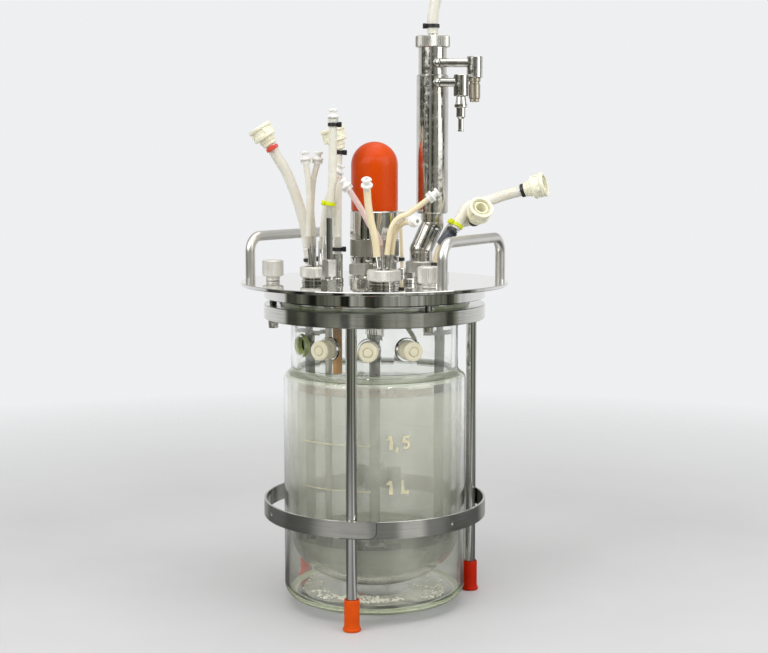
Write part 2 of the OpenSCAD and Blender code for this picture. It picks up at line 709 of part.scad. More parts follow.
module gland_bodies() {
    color(steel) {
        gland_body(sample_port, true);
        gland_body(blind_port, false);
    }
}

// size is across flats, height, and height above the plate
module hex_nut(place, size, bore, turn) {
    across = size[0];
    h = size[1];
    z = size[2];
    color(satin_steel) on_deck(place, z) difference() {
        rotate([0, 0, turn]) intersection() {
            hex_bar(across, h);
            chamfered(across / cos(30) + 0.1, h, 0.8);
        }
        translate([0, 0, -eps]) cylinder(r = gland_neck_d / 2 + run_gap, h = gland_neck_h - z + face_gap);
        if (bore > 0) cylinder(r = bore / 2 + run_gap, h = h + 1);
    }
}

// ---- air port: cylinder and barb above the plate, nipples for the two sleeves below it ----
module air_port() {
    body_d = 8.8;
    body_h = 24.2;
    barb_h = 38;
    under = plate_t + disc_t + side_nipple_l;
    color(satin_steel) {
        on_deck(air_place) difference() {
            union() {
                translate([0, 0, -under]) cylinder(d = nipple_d, h = side_nipple_l + 2);
                translate([0, 0, -plate_t - disc_t]) cylinder(d = gland_spigot_d, h = plate_t + disc_t);
                chamfered(body_d + 1.2, 4, 0.5);
                chamfered(body_d, body_h, 0.4);
                cylinder(d = 4.8, h = barb_h);
            }
            translate([0, 0, -under - 1]) cylinder(d = 3, h = under + barb_h + 2);
        }
        translate([side_nipple_place[0], side_nipple_place[1], disc_z - side_nipple_l])
            cylinder(d = side_nipple_d, h = side_nipple_l);
    }
}

module small_plug() {
    color(satin_steel) on_deck(small_plug_port) {
        translate([0, 0, -plate_t - disc_t]) cylinder(d = barb_spigot_d, h = plate_t + disc_t);
        chamfered(11, 4, 0.5);
        translate([0, 0, 4]) hex_bar(7, 5);
    }
}

module barb(place, d, h) {
    on_deck(place) difference() {
        union() {
            translate([0, 0, -plate_t - disc_t]) cylinder(d = barb_spigot_d, h = plate_t + disc_t);
            chamfered(d + 5, 5.5, 0.6);
            cylinder(d = d, h = h);
        }
        translate([0, 0, -20]) cylinder(d = d * 0.6, h = 60);
    }
}

module hose_barbs() {
    color(satin_steel) for (i = [0:3]) barb(barb_places[i], barb_d[i], barb_h[i]);
}

// ---- condenser ----
module condenser_body() {
    low = [condenser_port[0], condenser_y, elbow_z[0]];
    high = [condenser_x, condenser_y, elbow_z[1]];
    step = 2;
    color(steel) difference() {
        union() {
            on_deck(condenser_port) {
                translate([0, 0, -plate_t - disc_t]) cylinder(d = condenser_spigot_d, h = plate_t + disc_t);
                chamfered(24, 3.2, 0.4);
                cylinder(d = neck_tube_d, h = elbow_z[0] - deck_z);
            }
            translate(low) sphere(d = neck_tube_d + weld);
            rod(low, high, neck_tube_d);
            translate(high) sphere(d = neck_tube_d + weld);
            translate(high) cylinder(d = neck_tube_d, h = condenser_z - high[2] + 1);
            translate([condenser_x, condenser_y, condenser_z]) {
                chamfered(condenser_d, condenser_l, 1);
                cylinder(d = upper_tube_d, h = condenser_l + upper_tube_l);
                cylinder(d = upper_tube_d - step, h = condenser_l + upper_tube_l + 7);
                cylinder(d = 8, h = condenser_l + upper_tube_l + 11.4);
                cylinder(d = 5.5, h = condenser_l + upper_tube_l + 27.6);
            }
            coolant_arm(upper_arm, upper_socket);
            coolant_arm(lower_arm, lower_socket);
        }
        translate([condenser_x, condenser_y, condenser_z + condenser_l]) cylinder(d = 3.6, h = 80);
        for (arm = [[upper_arm, upper_socket], [lower_arm, lower_socket]])
            translate([arm[0][0], arm[0][1], arm[0][2] + arm[1][1] - 1])
                cylinder(d = coolant_spigot_d, h = coolant_spigot_l + 1.5);
    }
}

// side arm: a stub from the tube, a bend, a straight pipe and the upright socket at its end
module coolant_arm(end, socket) {
    bend = [arm_x, end[1], end[2]];
    rod([condenser_x, condenser_y, end[2]], bend, arm_d);
    translate(bend) sphere(d = arm_d + weld);
    rod(bend, end, arm_d);
    translate([end[0], end[1], end[2] + socket[1]]) chamfered(socket[0], socket[2] - socket[1], 0.6);
}

module condenser_nut() {
    h = 9.4;
    thread_d = upper_tube_d - 2;
    color(satin_steel) translate([condenser_x, condenser_y, condenser_top_z + face_gap]) difference() {
        intersection() {
            knurled(29, h, 56);
            chamfered(29.2, h, 0.8);
        }
        translate([0, 0, -eps]) cylinder(r = thread_d / 2 + run_gap, h = 7);
        cylinder(r = 4 + run_gap, h = h + 1);
    }
}

// grooved quick coupler that hangs from the outer socket
module coolant_coupler() {
    top = upper_arm[2] + upper_socket[1];
    color([0.62, 0.58, 0.50]) translate([upper_arm[0], upper_arm[1], 0]) difference() {
        union() {
            translate([0, 0, top]) cylinder(d = coolant_spigot_d, h = coolant_spigot_l);
            translate([0, 0, top - 2.9]) chamfered(10, 2.9, 0.3);
            translate([0, 0, top - 5]) cylinder(d = 8.4, h = 2.2);
            translate([0, 0, top - 17.2]) chamfered(9.6, 12.2, 0.5);
            translate([0, 0, top - 19.7]) chamfered(8, 2.6, 0.3);
        }
        translate([0, 0, top - 21]) cylinder(d = 4, h = 19);
    }
}

module coolant_nipple() {
    top = lower_arm[2] + lower_socket[1];
    color(steel) translate([lower_arm[0], lower_arm[1], 0]) {
        translate([0, 0, top]) cylinder(d = coolant_spigot_d, h = coolant_spigot_l);
        translate([0, 0, top]) rotate([180, 0, 0]) cylinder(d1 = 7.5, d2 = 9.4, h = 6.6);
        translate([0, 0, top - 9.4]) chamfered(11, 3, 0.6);
        translate([0, 0, top - 17.2]) chamfered(7.8, 8, 0.4);
        translate([0, 0, top - 18.7]) cylinder(d1 = 4.5, d2 = 7, h = 1.6);
        translate([0, 0, top - 29.2]) cylinder(d = 4.5, h = 11);
        translate([0, 0, top - 29.2]) chamfered(5.4, 1.8, 0.4);
    }
}

// ---- side port plugs: stem in the port, stepped body outside, button in the middle ----
module side_plug(th) {
    start = port_face_r + face_gap;
    body_l = 14;
    color(cream_silicone) around(th, 0, port_z) rotate([90, 0, 0]) {
        translate([0, 0, bore_r - 1]) cylinder(r = side_port_d / 2 - run_gap, h = start - bore_r + 1.5);
        rotate_extrude() polygon([[0, start], [8.1, start], [8.1, start + 4], [7.6, start + 4.6],
            [7.6, start + 7], [8, start + 7.4], [8, start + body_l - 1], [7, start + body_l],
            [4.2, start + body_l], [4, start + body_l - 0.8], [3.4, start + body_l - 0.8],
            [3.2, start + body_l + 0.5], [0, start + body_l + 0.7]]);
    }
}

// ---- what the hoses carry ----
// bayonet coupling: hose collar, wide flange, barrel and rim, open at the far end
module coupling() {
    difference() {
        union() {
            chamfered(12.4, 3.4, 0.6);
            translate([0, 0, 3]) chamfered(14, 6, 0.5);
            translate([0, 0, 7]) chamfered(20, 3.4, 0.7);
            translate([0, 0, 10]) cylinder(d = 18.4, h = 6);
            translate([0, 0, 15]) chamfered(21, 3.2, 0.8);
        }
        translate([0, 0, 6]) cylinder(d = 9, h = 20);
    }
}

// luer lock: skirt, wings and tapered end
module luer() {
    difference() {
        union() {
            cylinder(d = 5.4, h = 4);
            translate([0, 0, 3.4]) chamfered(9.6, 2, 0.5);
            cylinder(d = 5.2, h = 9);
            translate([0, 0, 8.4]) chamfered(7.6, 2.2, 0.4);
        }
        translate([0, 0, 6]) cylinder(d = 3, h = 10);
    }
}

module hose_fittings() {
    color([0.90, 0.90, 0.84]) on_deck() for (f = fittings) aim(f[1], f[2])
        if (f[0] == "coupling") coupling(); else luer();
    hose(sleeve_route, sleeve_d, [0.24, 0.26, 0.29]);
}

module cable_tie(d, head) {
    outer = d + 2 * tie_t;
    difference() {
        union() {
            translate([0, 0, -tie_w / 2]) cylinder(d = outer, h = tie_w);
            rotate([0, 0, head]) translate([d / 2, -2.6, -tie_w / 2 - 0.3]) cube([5, 5.2, tie_w + 0.6]);
        }
        translate([0, 0, -tie_w]) cylinder(d = d, h = 2 * tie_w);
    }
}

module cable_ties() {
    color([0.06, 0.06, 0.06]) on_deck() for (t = ties) aim(t[0], t[1]) cable_tie(t[2], t[3]);
}

glass_vessel();
water_jacket();
jacket_nozzles();
clamp_ring();
support_band();
leg(leg_angles[0]);  // leg_front
leg(leg_angles[1]);  // leg_right
leg(leg_angles[2]);  // leg_left
foot(leg_angles[0]);  // foot_front
foot(leg_angles[1]);  // foot_right
foot(leg_angles[2]);  // foot_left
lid_gasket();
head_plate();
handle(handle_angles[0]);  // handle_right
handle(handle_angles[1]);  // handle_left
clamp_studs();
clamp_nut(stud_angles[0]);  // clamp_nut_front
clamp_nut(stud_angles[1]);  // clamp_nut_rear
clamp_nut(stud_angles[2]);  // clamp_nut_left
baffle_cage();
stirrer_shaft();
impeller(upper_impeller_z);  // impeller_upper
impeller(lower_impeller_z);  // impeller_lower
drive_housing();
drive_cap();
port_insert(left_port, left_pipes, 3.6);  // port_insert_left
collar(left_port, collar_d, collar_h, neck_d + 2 * run_gap, collar_z);  // collar_left
port_insert(front_port, front_pipes, 3.2);  // port_insert_front
collar(front_port, collar_d, collar_h, neck_d + 2 * run_gap, collar_z);  // collar_front
gland_bodies();
hex_nut(sample_port, gland_nut_size, 5.4, 25);  // gland_nut
hex_nut(blind_port, blind_nut_size, 0, 10);  // blind_nut
sampling_pipe();
air_port();
inner_sleeves();
small_plug();
hose_barbs();
condenser_body();
collar(condenser_port, condenser_collar_d, condenser_collar_h, neck_tube_d + 2 * run_gap, condenser_collar_z);  // condenser_collar
condenser_nut();
coolant_coupler();
coolant_nipple();
side_plug(port_angles[1]);  // side_plug_left
side_plug(port_angles[2]);  // side_plug_middle
side_plug(port_angles[3]);  // side_plug_right
hose(harvest_route, harvest_d);  // hose_harvest
hose(feed_1_route, feed_d);  // hose_feed_1
hose(feed_2_route, feed_d);  // hose_feed_2
hose(feed_3_route, feed_d);  // hose_feed_3
hose(sample_route, sample_d);  // hose_sample
hose(air_route, air_d);  // hose_air
hose(acid_route, acid_d);  // hose_acid
hose(base_route, base_d, tan_silicone);  // hose_base
hose(antifoam_route, medium_d, tan_silicone);  // hose_antifoam
hose(medium_route, medium_d, tan_silicone);  // hose_medium
hose(bypass_route, bypass_d, tan_silicone);  // hose_bypass
hose(transfer_route, transfer_d);  // hose_transfer
hose(spare_route, spare_d);  // hose_spare
hose(vent_thin_route, vent_thin_d, tan_silicone, 8);  // hose_vent_thin
hose(vent_route, vent_d);  // hose_vent
hose_fittings();
cable_ties();
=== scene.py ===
"""Looks for the bench bioreactor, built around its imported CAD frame. Metres, +Z up, front is -Y."""

import math
import random

import bmesh
import bpy
from mathutils import Matrix, Vector


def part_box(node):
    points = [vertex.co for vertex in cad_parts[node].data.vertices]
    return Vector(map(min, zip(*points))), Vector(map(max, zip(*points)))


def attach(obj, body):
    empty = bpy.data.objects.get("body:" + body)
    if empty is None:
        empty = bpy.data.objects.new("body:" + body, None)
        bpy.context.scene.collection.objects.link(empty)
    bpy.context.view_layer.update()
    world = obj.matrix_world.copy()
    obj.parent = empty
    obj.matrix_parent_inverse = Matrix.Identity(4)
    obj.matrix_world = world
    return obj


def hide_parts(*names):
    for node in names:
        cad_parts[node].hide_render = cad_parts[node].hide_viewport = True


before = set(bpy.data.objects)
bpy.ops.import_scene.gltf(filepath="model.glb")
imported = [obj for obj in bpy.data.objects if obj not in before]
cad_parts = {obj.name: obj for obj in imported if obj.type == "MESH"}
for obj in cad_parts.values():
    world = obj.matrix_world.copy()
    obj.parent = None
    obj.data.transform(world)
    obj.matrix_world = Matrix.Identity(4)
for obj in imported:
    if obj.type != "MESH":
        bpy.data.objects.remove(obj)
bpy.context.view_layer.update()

scene = bpy.context.scene
MM = 0.001
STAND = "vessel_stand"  # the fixed body

# ---- camera ----
CAMERA_AT = (0.0, -1.223, 0.381)
CAMERA_DOWN, CAMERA_TURN = 6.62, -0.376  # degrees below level, and towards -X
camera_data = bpy.data.cameras.new("camera")
camera_data.lens = 67.5
camera_data.sensor_width = 36.0
camera_data.clip_start = 0.01
camera_data.clip_end = 50.0
camera = bpy.data.objects.new("camera", camera_data)
camera.location = CAMERA_AT
camera.rotation_euler = (math.radians(90 - CAMERA_DOWN), 0.0, math.radians(CAMERA_TURN))
scene.collection.objects.link(camera)
scene.camera = camera


# ---- node helpers ----
def add(tree, kind, inputs=None, **settings):
    """A shader node with its settings, and values or links for its inputs."""
    node = tree.nodes.new("ShaderNode" + kind)
    for key, value in settings.items():
        setattr(node, key, value)
    for key, value in (inputs or {}).items():
        if isinstance(value, bpy.types.NodeSocket):
            tree.links.new(value, node.inputs[key])
        else:
            node.inputs[key].default_value = value
    return node


def math_node(tree, operation, a, b=0.0):
    return add(tree, "Math", {0: a, 1: b}, operation=operation).outputs[0]


def noise(tree, vector, scale, detail, roughness):
    inputs = {"Vector": vector, "Scale": scale, "Detail": detail, "Roughness": roughness}
    return add(tree, "TexNoise", inputs).outputs["Fac"]


def spread(tree, value, low, high, start=0.3, end=0.7):
    """The value's range from start to end, stretched to low..high and clamped."""
    inputs = {"Value": value, "From Min": start, "From Max": end, "To Min": low, "To Max": high}
    return add(tree, "MapRange", inputs).outputs["Result"]


def mix_colour(tree, factor, a, b):
    node = add(tree, "Mix", data_type="RGBA")
    tree.links.new(factor, node.inputs[0])
    for socket, value in ((node.inputs[6], a), (node.inputs[7], b)):
        if isinstance(value, bpy.types.NodeSocket):
            tree.links.new(value, socket)
        else:
            socket.default_value = (*value, 1.0)
    return node.outputs[2]


def object_place(tree):
    return add(tree, "TexCoord").outputs["Object"]


def object_xyz(tree):
    return add(tree, "SeparateXYZ", {0: object_place(tree)}).outputs


def round_coords(tree, turns, along):
    """Coordinates for a turned piece: they hardly change round its axis, and run fast along it."""
    generated = add(tree, "TexCoord").outputs["Generated"]
    xyz = add(tree, "SeparateXYZ", {0: generated})
    x = math_node(tree, "SUBTRACT", xyz.outputs[0], 0.5)
    y = math_node(tree, "SUBTRACT", xyz.outputs[1], 0.5)
    angle = math_node(tree, "ARCTAN2", y, x)
    flat = [
        math_node(tree, "MULTIPLY", math_node(tree, f, angle), turns)
        for f in ("COSINE", "SINE")
    ]
    height = math_node(tree, "MULTIPLY", xyz.outputs[2], along)
    return add(tree, "CombineXYZ", {0: flat[0], 1: flat[1], 2: height}).outputs[0]


LATHE_TURNS, LATHE_DEPTH = 0.6, 0.003  # turned lines: how far they vary round the piece, and depth in mm
BELT_TONE, BELT_ROUGHER = (0.44, 0.42, 0.37), 0.26


def material(name, colour, shade, patch, rough, bump=(), lathe=0.0, belt=None, other_side=None, **fixed):
    """Principled material: two mottled tones, mottled roughness, and bumps as (scale, height in mm).

    lathe adds fine turned lines, belt a duller band between two heights in millimetres, and other_side
    another colour where X is above zero.
    """
    made = bpy.data.materials.new(name)
    made.use_nodes = True
    tree = made.node_tree
    tree.nodes.clear()
    place = object_place(tree)
    turned = round_coords(tree, LATHE_TURNS, lathe) if lathe else None
    cloud = noise(tree, turned, 4.0, 4.0, 0.6) if lathe else noise(tree, place, patch, 4.0, 0.6)
    shader = add(tree, "BsdfPrincipled", fixed)
    tone = mix_colour(tree, spread(tree, cloud, 0.0, 1.0), colour, shade)
    fine = noise(tree, place, patch * 3.7, 3.0, 0.6)
    roughness = spread(tree, fine, *rough)
    xyz = add(tree, "SeparateXYZ", {0: place}).outputs
    if other_side:
        tone = mix_colour(tree, math_node(tree, "GREATER_THAN", xyz[0], 0.0), tone, other_side)
    if belt:
        above = math_node(tree, "GREATER_THAN", xyz[2], belt[0] * MM)
        below = math_node(tree, "LESS_THAN", xyz[2], belt[1] * MM)
        in_belt = math_node(tree, "MULTIPLY", above, below)
        tone = mix_colour(tree, in_belt, tone, BELT_TONE)
        roughness = math_node(tree, "ADD", roughness, math_node(tree, "MULTIPLY", in_belt, BELT_ROUGHER))
    tree.links.new(tone, shader.inputs["Base Color"])
    tree.links.new(roughness, shader.inputs["Roughness"])
    normal = None
    heights = [(noise(tree, place, scale, 3.0, 0.6), height) for scale, height in bump]
    if lathe:
        heights.append((noise(tree, turned, 6.0, 2.0, 0.6), LATHE_DEPTH))
    for height, depth in heights:
        inputs = {"Height": height, "Distance": depth * MM, "Strength": 1.0}
        if normal is not None:
            inputs["Normal"] = normal
        normal = add(tree, "Bump", inputs).outputs["Normal"]
    if normal is not None:
        tree.links.new(normal, shader.inputs["Normal"])
    output = add(tree, "OutputMaterial", {"Surface": shader.outputs[0]})
    made["shader"] = shader.name
    made["output"] = output.name
    return made


def mix_shaders(made, factor, first, second):
    """Puts a mix of two shaders on the material's surface: the first where the factor is 0."""
    tree = made.node_tree
    mixed = add(tree, "MixShader", {0: factor, 1: first.outputs[0], 2: second.outputs[0]})
    tree.links.new(mixed.outputs[0], tree.nodes[made["output"]].inputs["Surface"])
    return made


def let_light_through(made, tint):
    """Lamps' rays pass the material, so that what is inside glass is lit."""
    tree = made.node_tree
    clear = add(tree, "BsdfTransparent", {"Color": (*tint, 1.0)})
    shadow_ray = add(tree, "LightPath").outputs["Is Shadow Ray"]
    return mix_shaders(made, shadow_ray, tree.nodes[made["shader"]], clear)


def thinned(made, share):
    """Keeps the material on that share of the surface; the rest is clear."""
    tree = made.node_tree
    return mix_shaders(made, share, add(tree, "BsdfTransparent"), tree.nodes[made["shader"]])


# ---- mesh helpers ----
ON_AXIS = 1e-6  # a radius in mm below this is a point on the axis


class Build:
    """Collects the faces of one piece. Sizes go in as millimetres."""

    def __init__(self):
        self.bm = bmesh.new()

    def lathe(self, profile, steps, place=None):
        """Turns (radius, height) points about local Z, and joins the last to the first if both are off the axis."""
        place = place or Matrix()
        rings = []
        for r, z in profile:
            if r < ON_AXIS:
                rings.append([self.bm.verts.new(place @ Vector((0, 0, z * MM)))] * steps)
                continue
            rings.append([
                self.bm.verts.new(place @ Vector((
                    r * MM * math.cos(2 * math.pi * k / steps),
                    r * MM * math.sin(2 * math.pi * k / steps),
                    z * MM,
                )))
                for k in range(steps)
            ])
        pairs = list(zip(rings, rings[1:]))
        if profile[0][0] > ON_AXIS and profile[-1][0] > ON_AXIS:
            pairs.append((rings[-1], rings[0]))
        for low, high in pairs:
            for k in range(steps):
                corners = [low[k], low[(k + 1) % steps], high[(k + 1) % steps], high[k]]
                distinct = list(dict.fromkeys(corners))
                if len(distinct) > 2:
                    self.bm.faces.new(distinct)
        return self

    def box(self, size, place=None, bevel=0.0):
        place = place or Matrix()
        made = bmesh.ops.create_cube(self.bm, size=1.0)
        shape = place @ Matrix.Diagonal((size[0] * MM, size[1] * MM, size[2] * MM, 1.0))
        bmesh.ops.transform(self.bm, matrix=shape, verts=made["verts"])
        if bevel:
            edges = list({e for v in made["verts"] for e in v.link_edges})
            bmesh.ops.bevel(self.bm, geom=edges, offset=bevel * MM, segments=2, affect="EDGES", profile=0.6)
        return self

    def tube(self, points, radius, sides=20):
        """Capped tube along points given in metres; radius in millimetres, or one per point."""
        points = [Vector(p) for p in points]
        radii = radius if hasattr(radius, "__len__") else [radius] * len(points)
        side = None
        rings = []
        for i, p in enumerate(points):
            ahead = points[min(i + 1, len(points) - 1)] - points[max(i - 1, 0)]
            ahead.normalize()
            if side is None:
                side = ahead.orthogonal().normalized()
            side = (side - ahead * side.dot(ahead)).normalized()
            up = ahead.cross(side)
            rings.append([
                self.bm.verts.new(p + radii[i] * MM * (
                    math.cos(2 * math.pi * k / sides) * side + math.sin(2 * math.pi * k / sides) * up
                ))
                for k in range(sides)
            ])
        for low, high in zip(rings, rings[1:]):
            for k in range(sides):
                self.bm.faces.new([low[k], low[(k + 1) % sides], high[(k + 1) % sides], high[k]])
        self.bm.faces.new(rings[0][::-1])
        self.bm.faces.new(rings[-1])
        return self

    def strip(self, rows):
        """Joins each row of points, given in metres, to the next."""
        rows = [[self.bm.verts.new(p) for p in row] for row in rows]
        for low, high in zip(rows, rows[1:]):
            for k in range(len(low) - 1):
                self.bm.faces.new([low[k], high[k], high[k + 1], low[k + 1]])
        return self

    def mesh(self, name):
        bmesh.ops.recalc_face_normals(self.bm, faces=self.bm.faces)
        data = bpy.data.meshes.new(name)
        self.bm.to_mesh(data)
        self.bm.free()
        return smooth(data)

    def done(self, name, finish, slot, replaces=()):
        piece = bpy.data.objects.new(name, self.mesh(name))
        scene.collection.objects.link(piece)
        return settle(piece, finish, replaces)


def smooth(data, sharp=35.0):
    """Smooth shading, but edges that turn by more than sharp degrees stay sharp."""
    data.polygons.foreach_set("use_smooth", [True] * len(data.polygons))
    data.set_sharp_from_angle(angle=math.radians(sharp))
    return data


def settle(piece, finish, replaces=()):
    """Gives the piece its material, and says that it rides on the fixed body."""
    piece.data.materials.clear()
    piece.data.materials.append(finish)
    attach(piece, STAND)
    if replaces:
        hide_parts(*replaces)
    return piece


def aim(start, ahead):
    """A frame at start, in metres, with local Z towards ahead, turned as part.scad turns it."""
    start, ahead = Vector(start), Vector(ahead)
    v = ahead - start
    return (
        Matrix.Translation(start)
        @ Matrix.Rotation(math.atan2(v.y, v.x), 4, "Z")
        @ Matrix.Rotation(math.atan2(math.hypot(v.x, v.y), v.z), 4, "Y")
    )


def around(angle, height):
    """A frame on the axis at that height in millimetres, with local Z pointing out at that angle from the front."""
    return moved(spun(Matrix(), angle), 0, 0, height) @ Matrix.Rotation(math.radians(90), 4, "X")


def spun(place, angle):
    return place @ Matrix.Rotation(math.radians(angle), 4, "Z")


def moved(place, x, y, z):
    """The frame moved along its own axes, in millimetres."""
    return place @ Matrix.Translation((x * MM, y * MM, z * MM))


def on_circle(r, angle, z):
    """A point from radius and height in millimetres, and degrees from the front towards +X."""
    a = math.radians(angle)
    return Vector((r * MM * math.sin(a), -r * MM * math.cos(a), z * MM))


# ---- sizes read from the frame ----
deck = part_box("head_plate")[1].z
flange_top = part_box("glass_vessel")[1].z
band_low, band_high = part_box("support_band")


def on_deck(point):
    return Vector((point[0] * MM, point[1] * MM, deck + point[2] * MM))


# ---- materials ----
STEEL = {"Metallic": 1.0}
polished = material("polished_steel", (0.72, 0.71, 0.69), (0.66, 0.65, 0.62), 22.0, (0.04, 0.11),
                    bump=((140.0, 0.005), (2600.0, 0.0008)), **STEEL)
mirror = material("mirror_plate", (0.78, 0.78, 0.77), (0.74, 0.74, 0.73), 14.0, (0.0, 0.02),
                  bump=((30.0, 0.003),), **STEEL)
worn = material("worn_polish", (0.68, 0.67, 0.64), (0.52, 0.51, 0.48), 70.0, (0.05, 0.30),
                bump=((380.0, 0.008),), **STEEL)
satin = material("satin_steel", (0.80, 0.79, 0.75), (0.74, 0.73, 0.69), 40.0, (0.16, 0.24),
                 bump=((2600.0, 0.0012),), **STEEL)
handle_steel = material("handle_steel", (0.74, 0.73, 0.70), (0.69, 0.68, 0.65), 30.0, (0.30, 0.37),
                        bump=((2600.0, 0.001),), **STEEL)
BRUSHED = {"Metallic": 1.0, "Anisotropic": 0.8, "Anisotropic Rotation": 0.25}
brushed_ring = material("brushed_ring", (0.70, 0.70, 0.67), (0.50, 0.50, 0.47), 16.0, (0.13, 0.19),
                        lathe=5.0, **BRUSHED)
brushed_band = material("brushed_band", (0.66, 0.65, 0.62), (0.50, 0.50, 0.47), 16.0, (0.14, 0.20),
                        lathe=3.0, **BRUSHED)
milled = material("milled_steel", (0.70, 0.69, 0.65), (0.58, 0.57, 0.53), 60.0, (0.26, 0.36),
                  bump=((2600.0, 0.0015),), **{"Metallic": 0.88})
leg_steel = material("leg_steel", (0.62, 0.62, 0.60), (0.54, 0.54, 0.52), 30.0, (0.02, 0.06),
                     bump=((160.0, 0.005),), **STEEL)
pipe_steel = material("pipe_steel", (0.50, 0.50, 0.48), (0.44, 0.44, 0.42), 22.0, (0.05, 0.12),
                      belt=(0.0, 262.0), **STEEL)
# steel inside the vessel: a darker copy of the steel, painted shade for the dimmer light inside the hazy glass
painted_shade_steel = material("steel_in_vessel_painted_shade", (0.34, 0.34, 0.31), (0.22, 0.22, 0.20), 50.0, (0.08, 0.16), **STEEL)
knurled = material("knurled_steel", (0.86, 0.84, 0.79), (0.76, 0.74, 0.69), 90.0, (0.34, 0.48),
                   bump=((2600.0, 0.002),), **{"Metallic": 0.62})
drive_steel = material("drive_steel", (0.70, 0.69, 0.66), (0.60, 0.59, 0.56), 40.0, (0.05, 0.14),
                       bump=((420.0, 0.0025),), belt=(299.8, 313.7), **STEEL)
bronze = material("bronze_steel", (0.52, 0.47, 0.38), (0.40, 0.36, 0.29), 120.0, (0.25, 0.4), **STEEL)
orange = material("orange_rubber", (0.68, 0.068, 0.0005), (0.60, 0.054, 0.0005), 35.0, (0.24, 0.34),
                  bump=((500.0, 0.008),), **{"Specular IOR Level": 0.2})
foot_orange = material("foot_rubber", (0.70, 0.085, 0.001), (0.60, 0.065, 0.001), 70.0, (0.34, 0.5),
                       bump=((700.0, 0.01),), **{"Specular IOR Level": 0.15})
foot_red = material("foot_rubber_red", (0.52, 0.016, 0.001), (0.44, 0.012, 0.001), 70.0, (0.34, 0.5),
                    bump=((700.0, 0.01),), **{"Specular IOR Level": 0.12})
# black of the lid gasket, also used for a line painted as shade at the support band's lap
black_rubber_and_shade = material("gasket_rubber", (0.03, 0.03, 0.028), (0.05, 0.05, 0.048), 60.0, (0.45, 0.6))
tie_black = material("tie_nylon", (0.012, 0.012, 0.013), (0.02, 0.02, 0.022), 120.0, (0.3, 0.45))
tie_yellow = material("tie_yellow", (0.76, 0.82, 0.004), (0.66, 0.74, 0.004), 120.0, (0.3, 0.45))
tie_red = material("tie_red", (0.80, 0.10, 0.06), (0.70, 0.08, 0.05), 120.0, (0.3, 0.45))
SOFT = {"Subsurface Weight": 0.4, "Subsurface Radius": (0.003, 0.0025, 0.002), "Subsurface Scale": 1.0}
cream = material("cream_silicone", (0.78, 0.74, 0.57), (0.73, 0.69, 0.51), 55.0, (0.38, 0.52),
                 bump=((800.0, 0.01),), **SOFT)
amber = material("amber_silicone", (0.58, 0.31, 0.09), (0.44, 0.22, 0.06), 60.0, (0.3, 0.45),
                 other_side=(0.74, 0.70, 0.55), **SOFT)
tan_hose = material("tan_silicone", (0.84, 0.75, 0.53), (0.79, 0.68, 0.45), 50.0, (0.30, 0.44), **SOFT)
dark_sleeve = material("dark_rubber", (0.10, 0.12, 0.15), (0.06, 0.07, 0.09), 60.0, (0.3, 0.45))


HOSE_SHARE, STRETCHED_SHARE = 0.9, 0.5  # how much of a milky hose hides what is behind it


def silicone(name, core_top=None, colour=(0.88, 0.86, 0.78), shade=(0.83, 0.80, 0.70)):
    """Milky hose, thinner to the eye where it is pushed over a pipe that ends at core_top over the plate."""
    made = material(name, colour, shade, 45.0, (0.2, 0.32), **SOFT)
    if core_top is None:
        return thinned(made, HOSE_SHARE)
    tree = made.node_tree
    edge = deck + core_top * MM
    return thinned(made, spread(tree, object_xyz(tree)[2], STRETCHED_SHARE, HOSE_SHARE,
                                edge - 0.5 * MM, edge + 0.5 * MM))


hose_plain = silicone("clear_silicone")
hose_on_pipe = silicone("clear_silicone_on_pipe", 38.5)
hose_on_barb = silicone("clear_silicone_on_barb", 26.0)
hose_on_sampler = silicone("clear_silicone_on_sampler", 64.5)
pink_hose = silicone("pink_silicone", 33.0, (0.86, 0.72, 0.70), (0.84, 0.64, 0.62))
coupling_plastic = material("coupling_plastic", (0.93, 0.91, 0.74), (0.89, 0.86, 0.66), 40.0, (0.22, 0.30))
luer_plastic = material("luer_plastic", (0.93, 0.92, 0.89), (0.89, 0.88, 0.85), 60.0, (0.22, 0.30))
glass = let_light_through(material(
    "borosilicate_glass", (0.984, 0.992, 0.974), (0.976, 0.986, 0.964), 12.0, (0.0, 0.012),
    bump=((18.0, 0.05),), **{"Transmission Weight": 1.0, "IOR": 1.47}), (0.97, 0.98, 0.96))


FADE_OUT, FADE_LEFT = 3.0, 0.25  # the haze thins over this height at its top, to this share


def film_material(name, colour, low, high, from_z, full_z, thin, top_z):
    """Dried haze on glass: clouds and upright streaks between low and high, thinner below full_z and over top_z."""
    made = material(name, colour, tuple(c * 0.96 for c in colour), 30.0, (0.6, 0.8))
    tree = made.node_tree
    place = object_place(tree)
    height = object_xyz(tree)[2]
    stretched = add(tree, "Mapping", {"Vector": place, "Scale": (1.0, 1.0, 0.12)}).outputs[0]
    streaks = noise(tree, stretched, 90.0, 4.0, 0.6)
    clouds = noise(tree, place, 22.0, 4.0, 0.6)
    both = math_node(tree, "MULTIPLY", math_node(tree, "ADD", streaks, clouds), 0.5)
    share = spread(tree, both, low, high, 0.38, 0.62)
    for start, end, low_z, high_z in ((thin, 1.0, from_z, full_z), (1.0, FADE_LEFT, top_z, top_z + FADE_OUT)):
        share = math_node(tree, "MULTIPLY", share, spread(tree, height, start, end, low_z * MM, high_z * MM))
    return thinned(made, share)


haze = film_material("dried_haze", (0.76, 0.75, 0.67), 0.11, 0.20, 108.0, 116.0, 0.75, 190.0)
jacket_haze = film_material("jacket_haze", (0.73, 0.72, 0.62), 0.10, 0.19, 96.0, 122.0, 0.6, 187.0)


def patchy(made, low, high, scale, start, end):
    """Thins the material in patches: down to low where the noise is below start, up to high over end."""
    tree = made.node_tree
    return thinned(made, spread(tree, noise(tree, object_place(tree), scale, 5.0, 0.7), low, high, start, end))


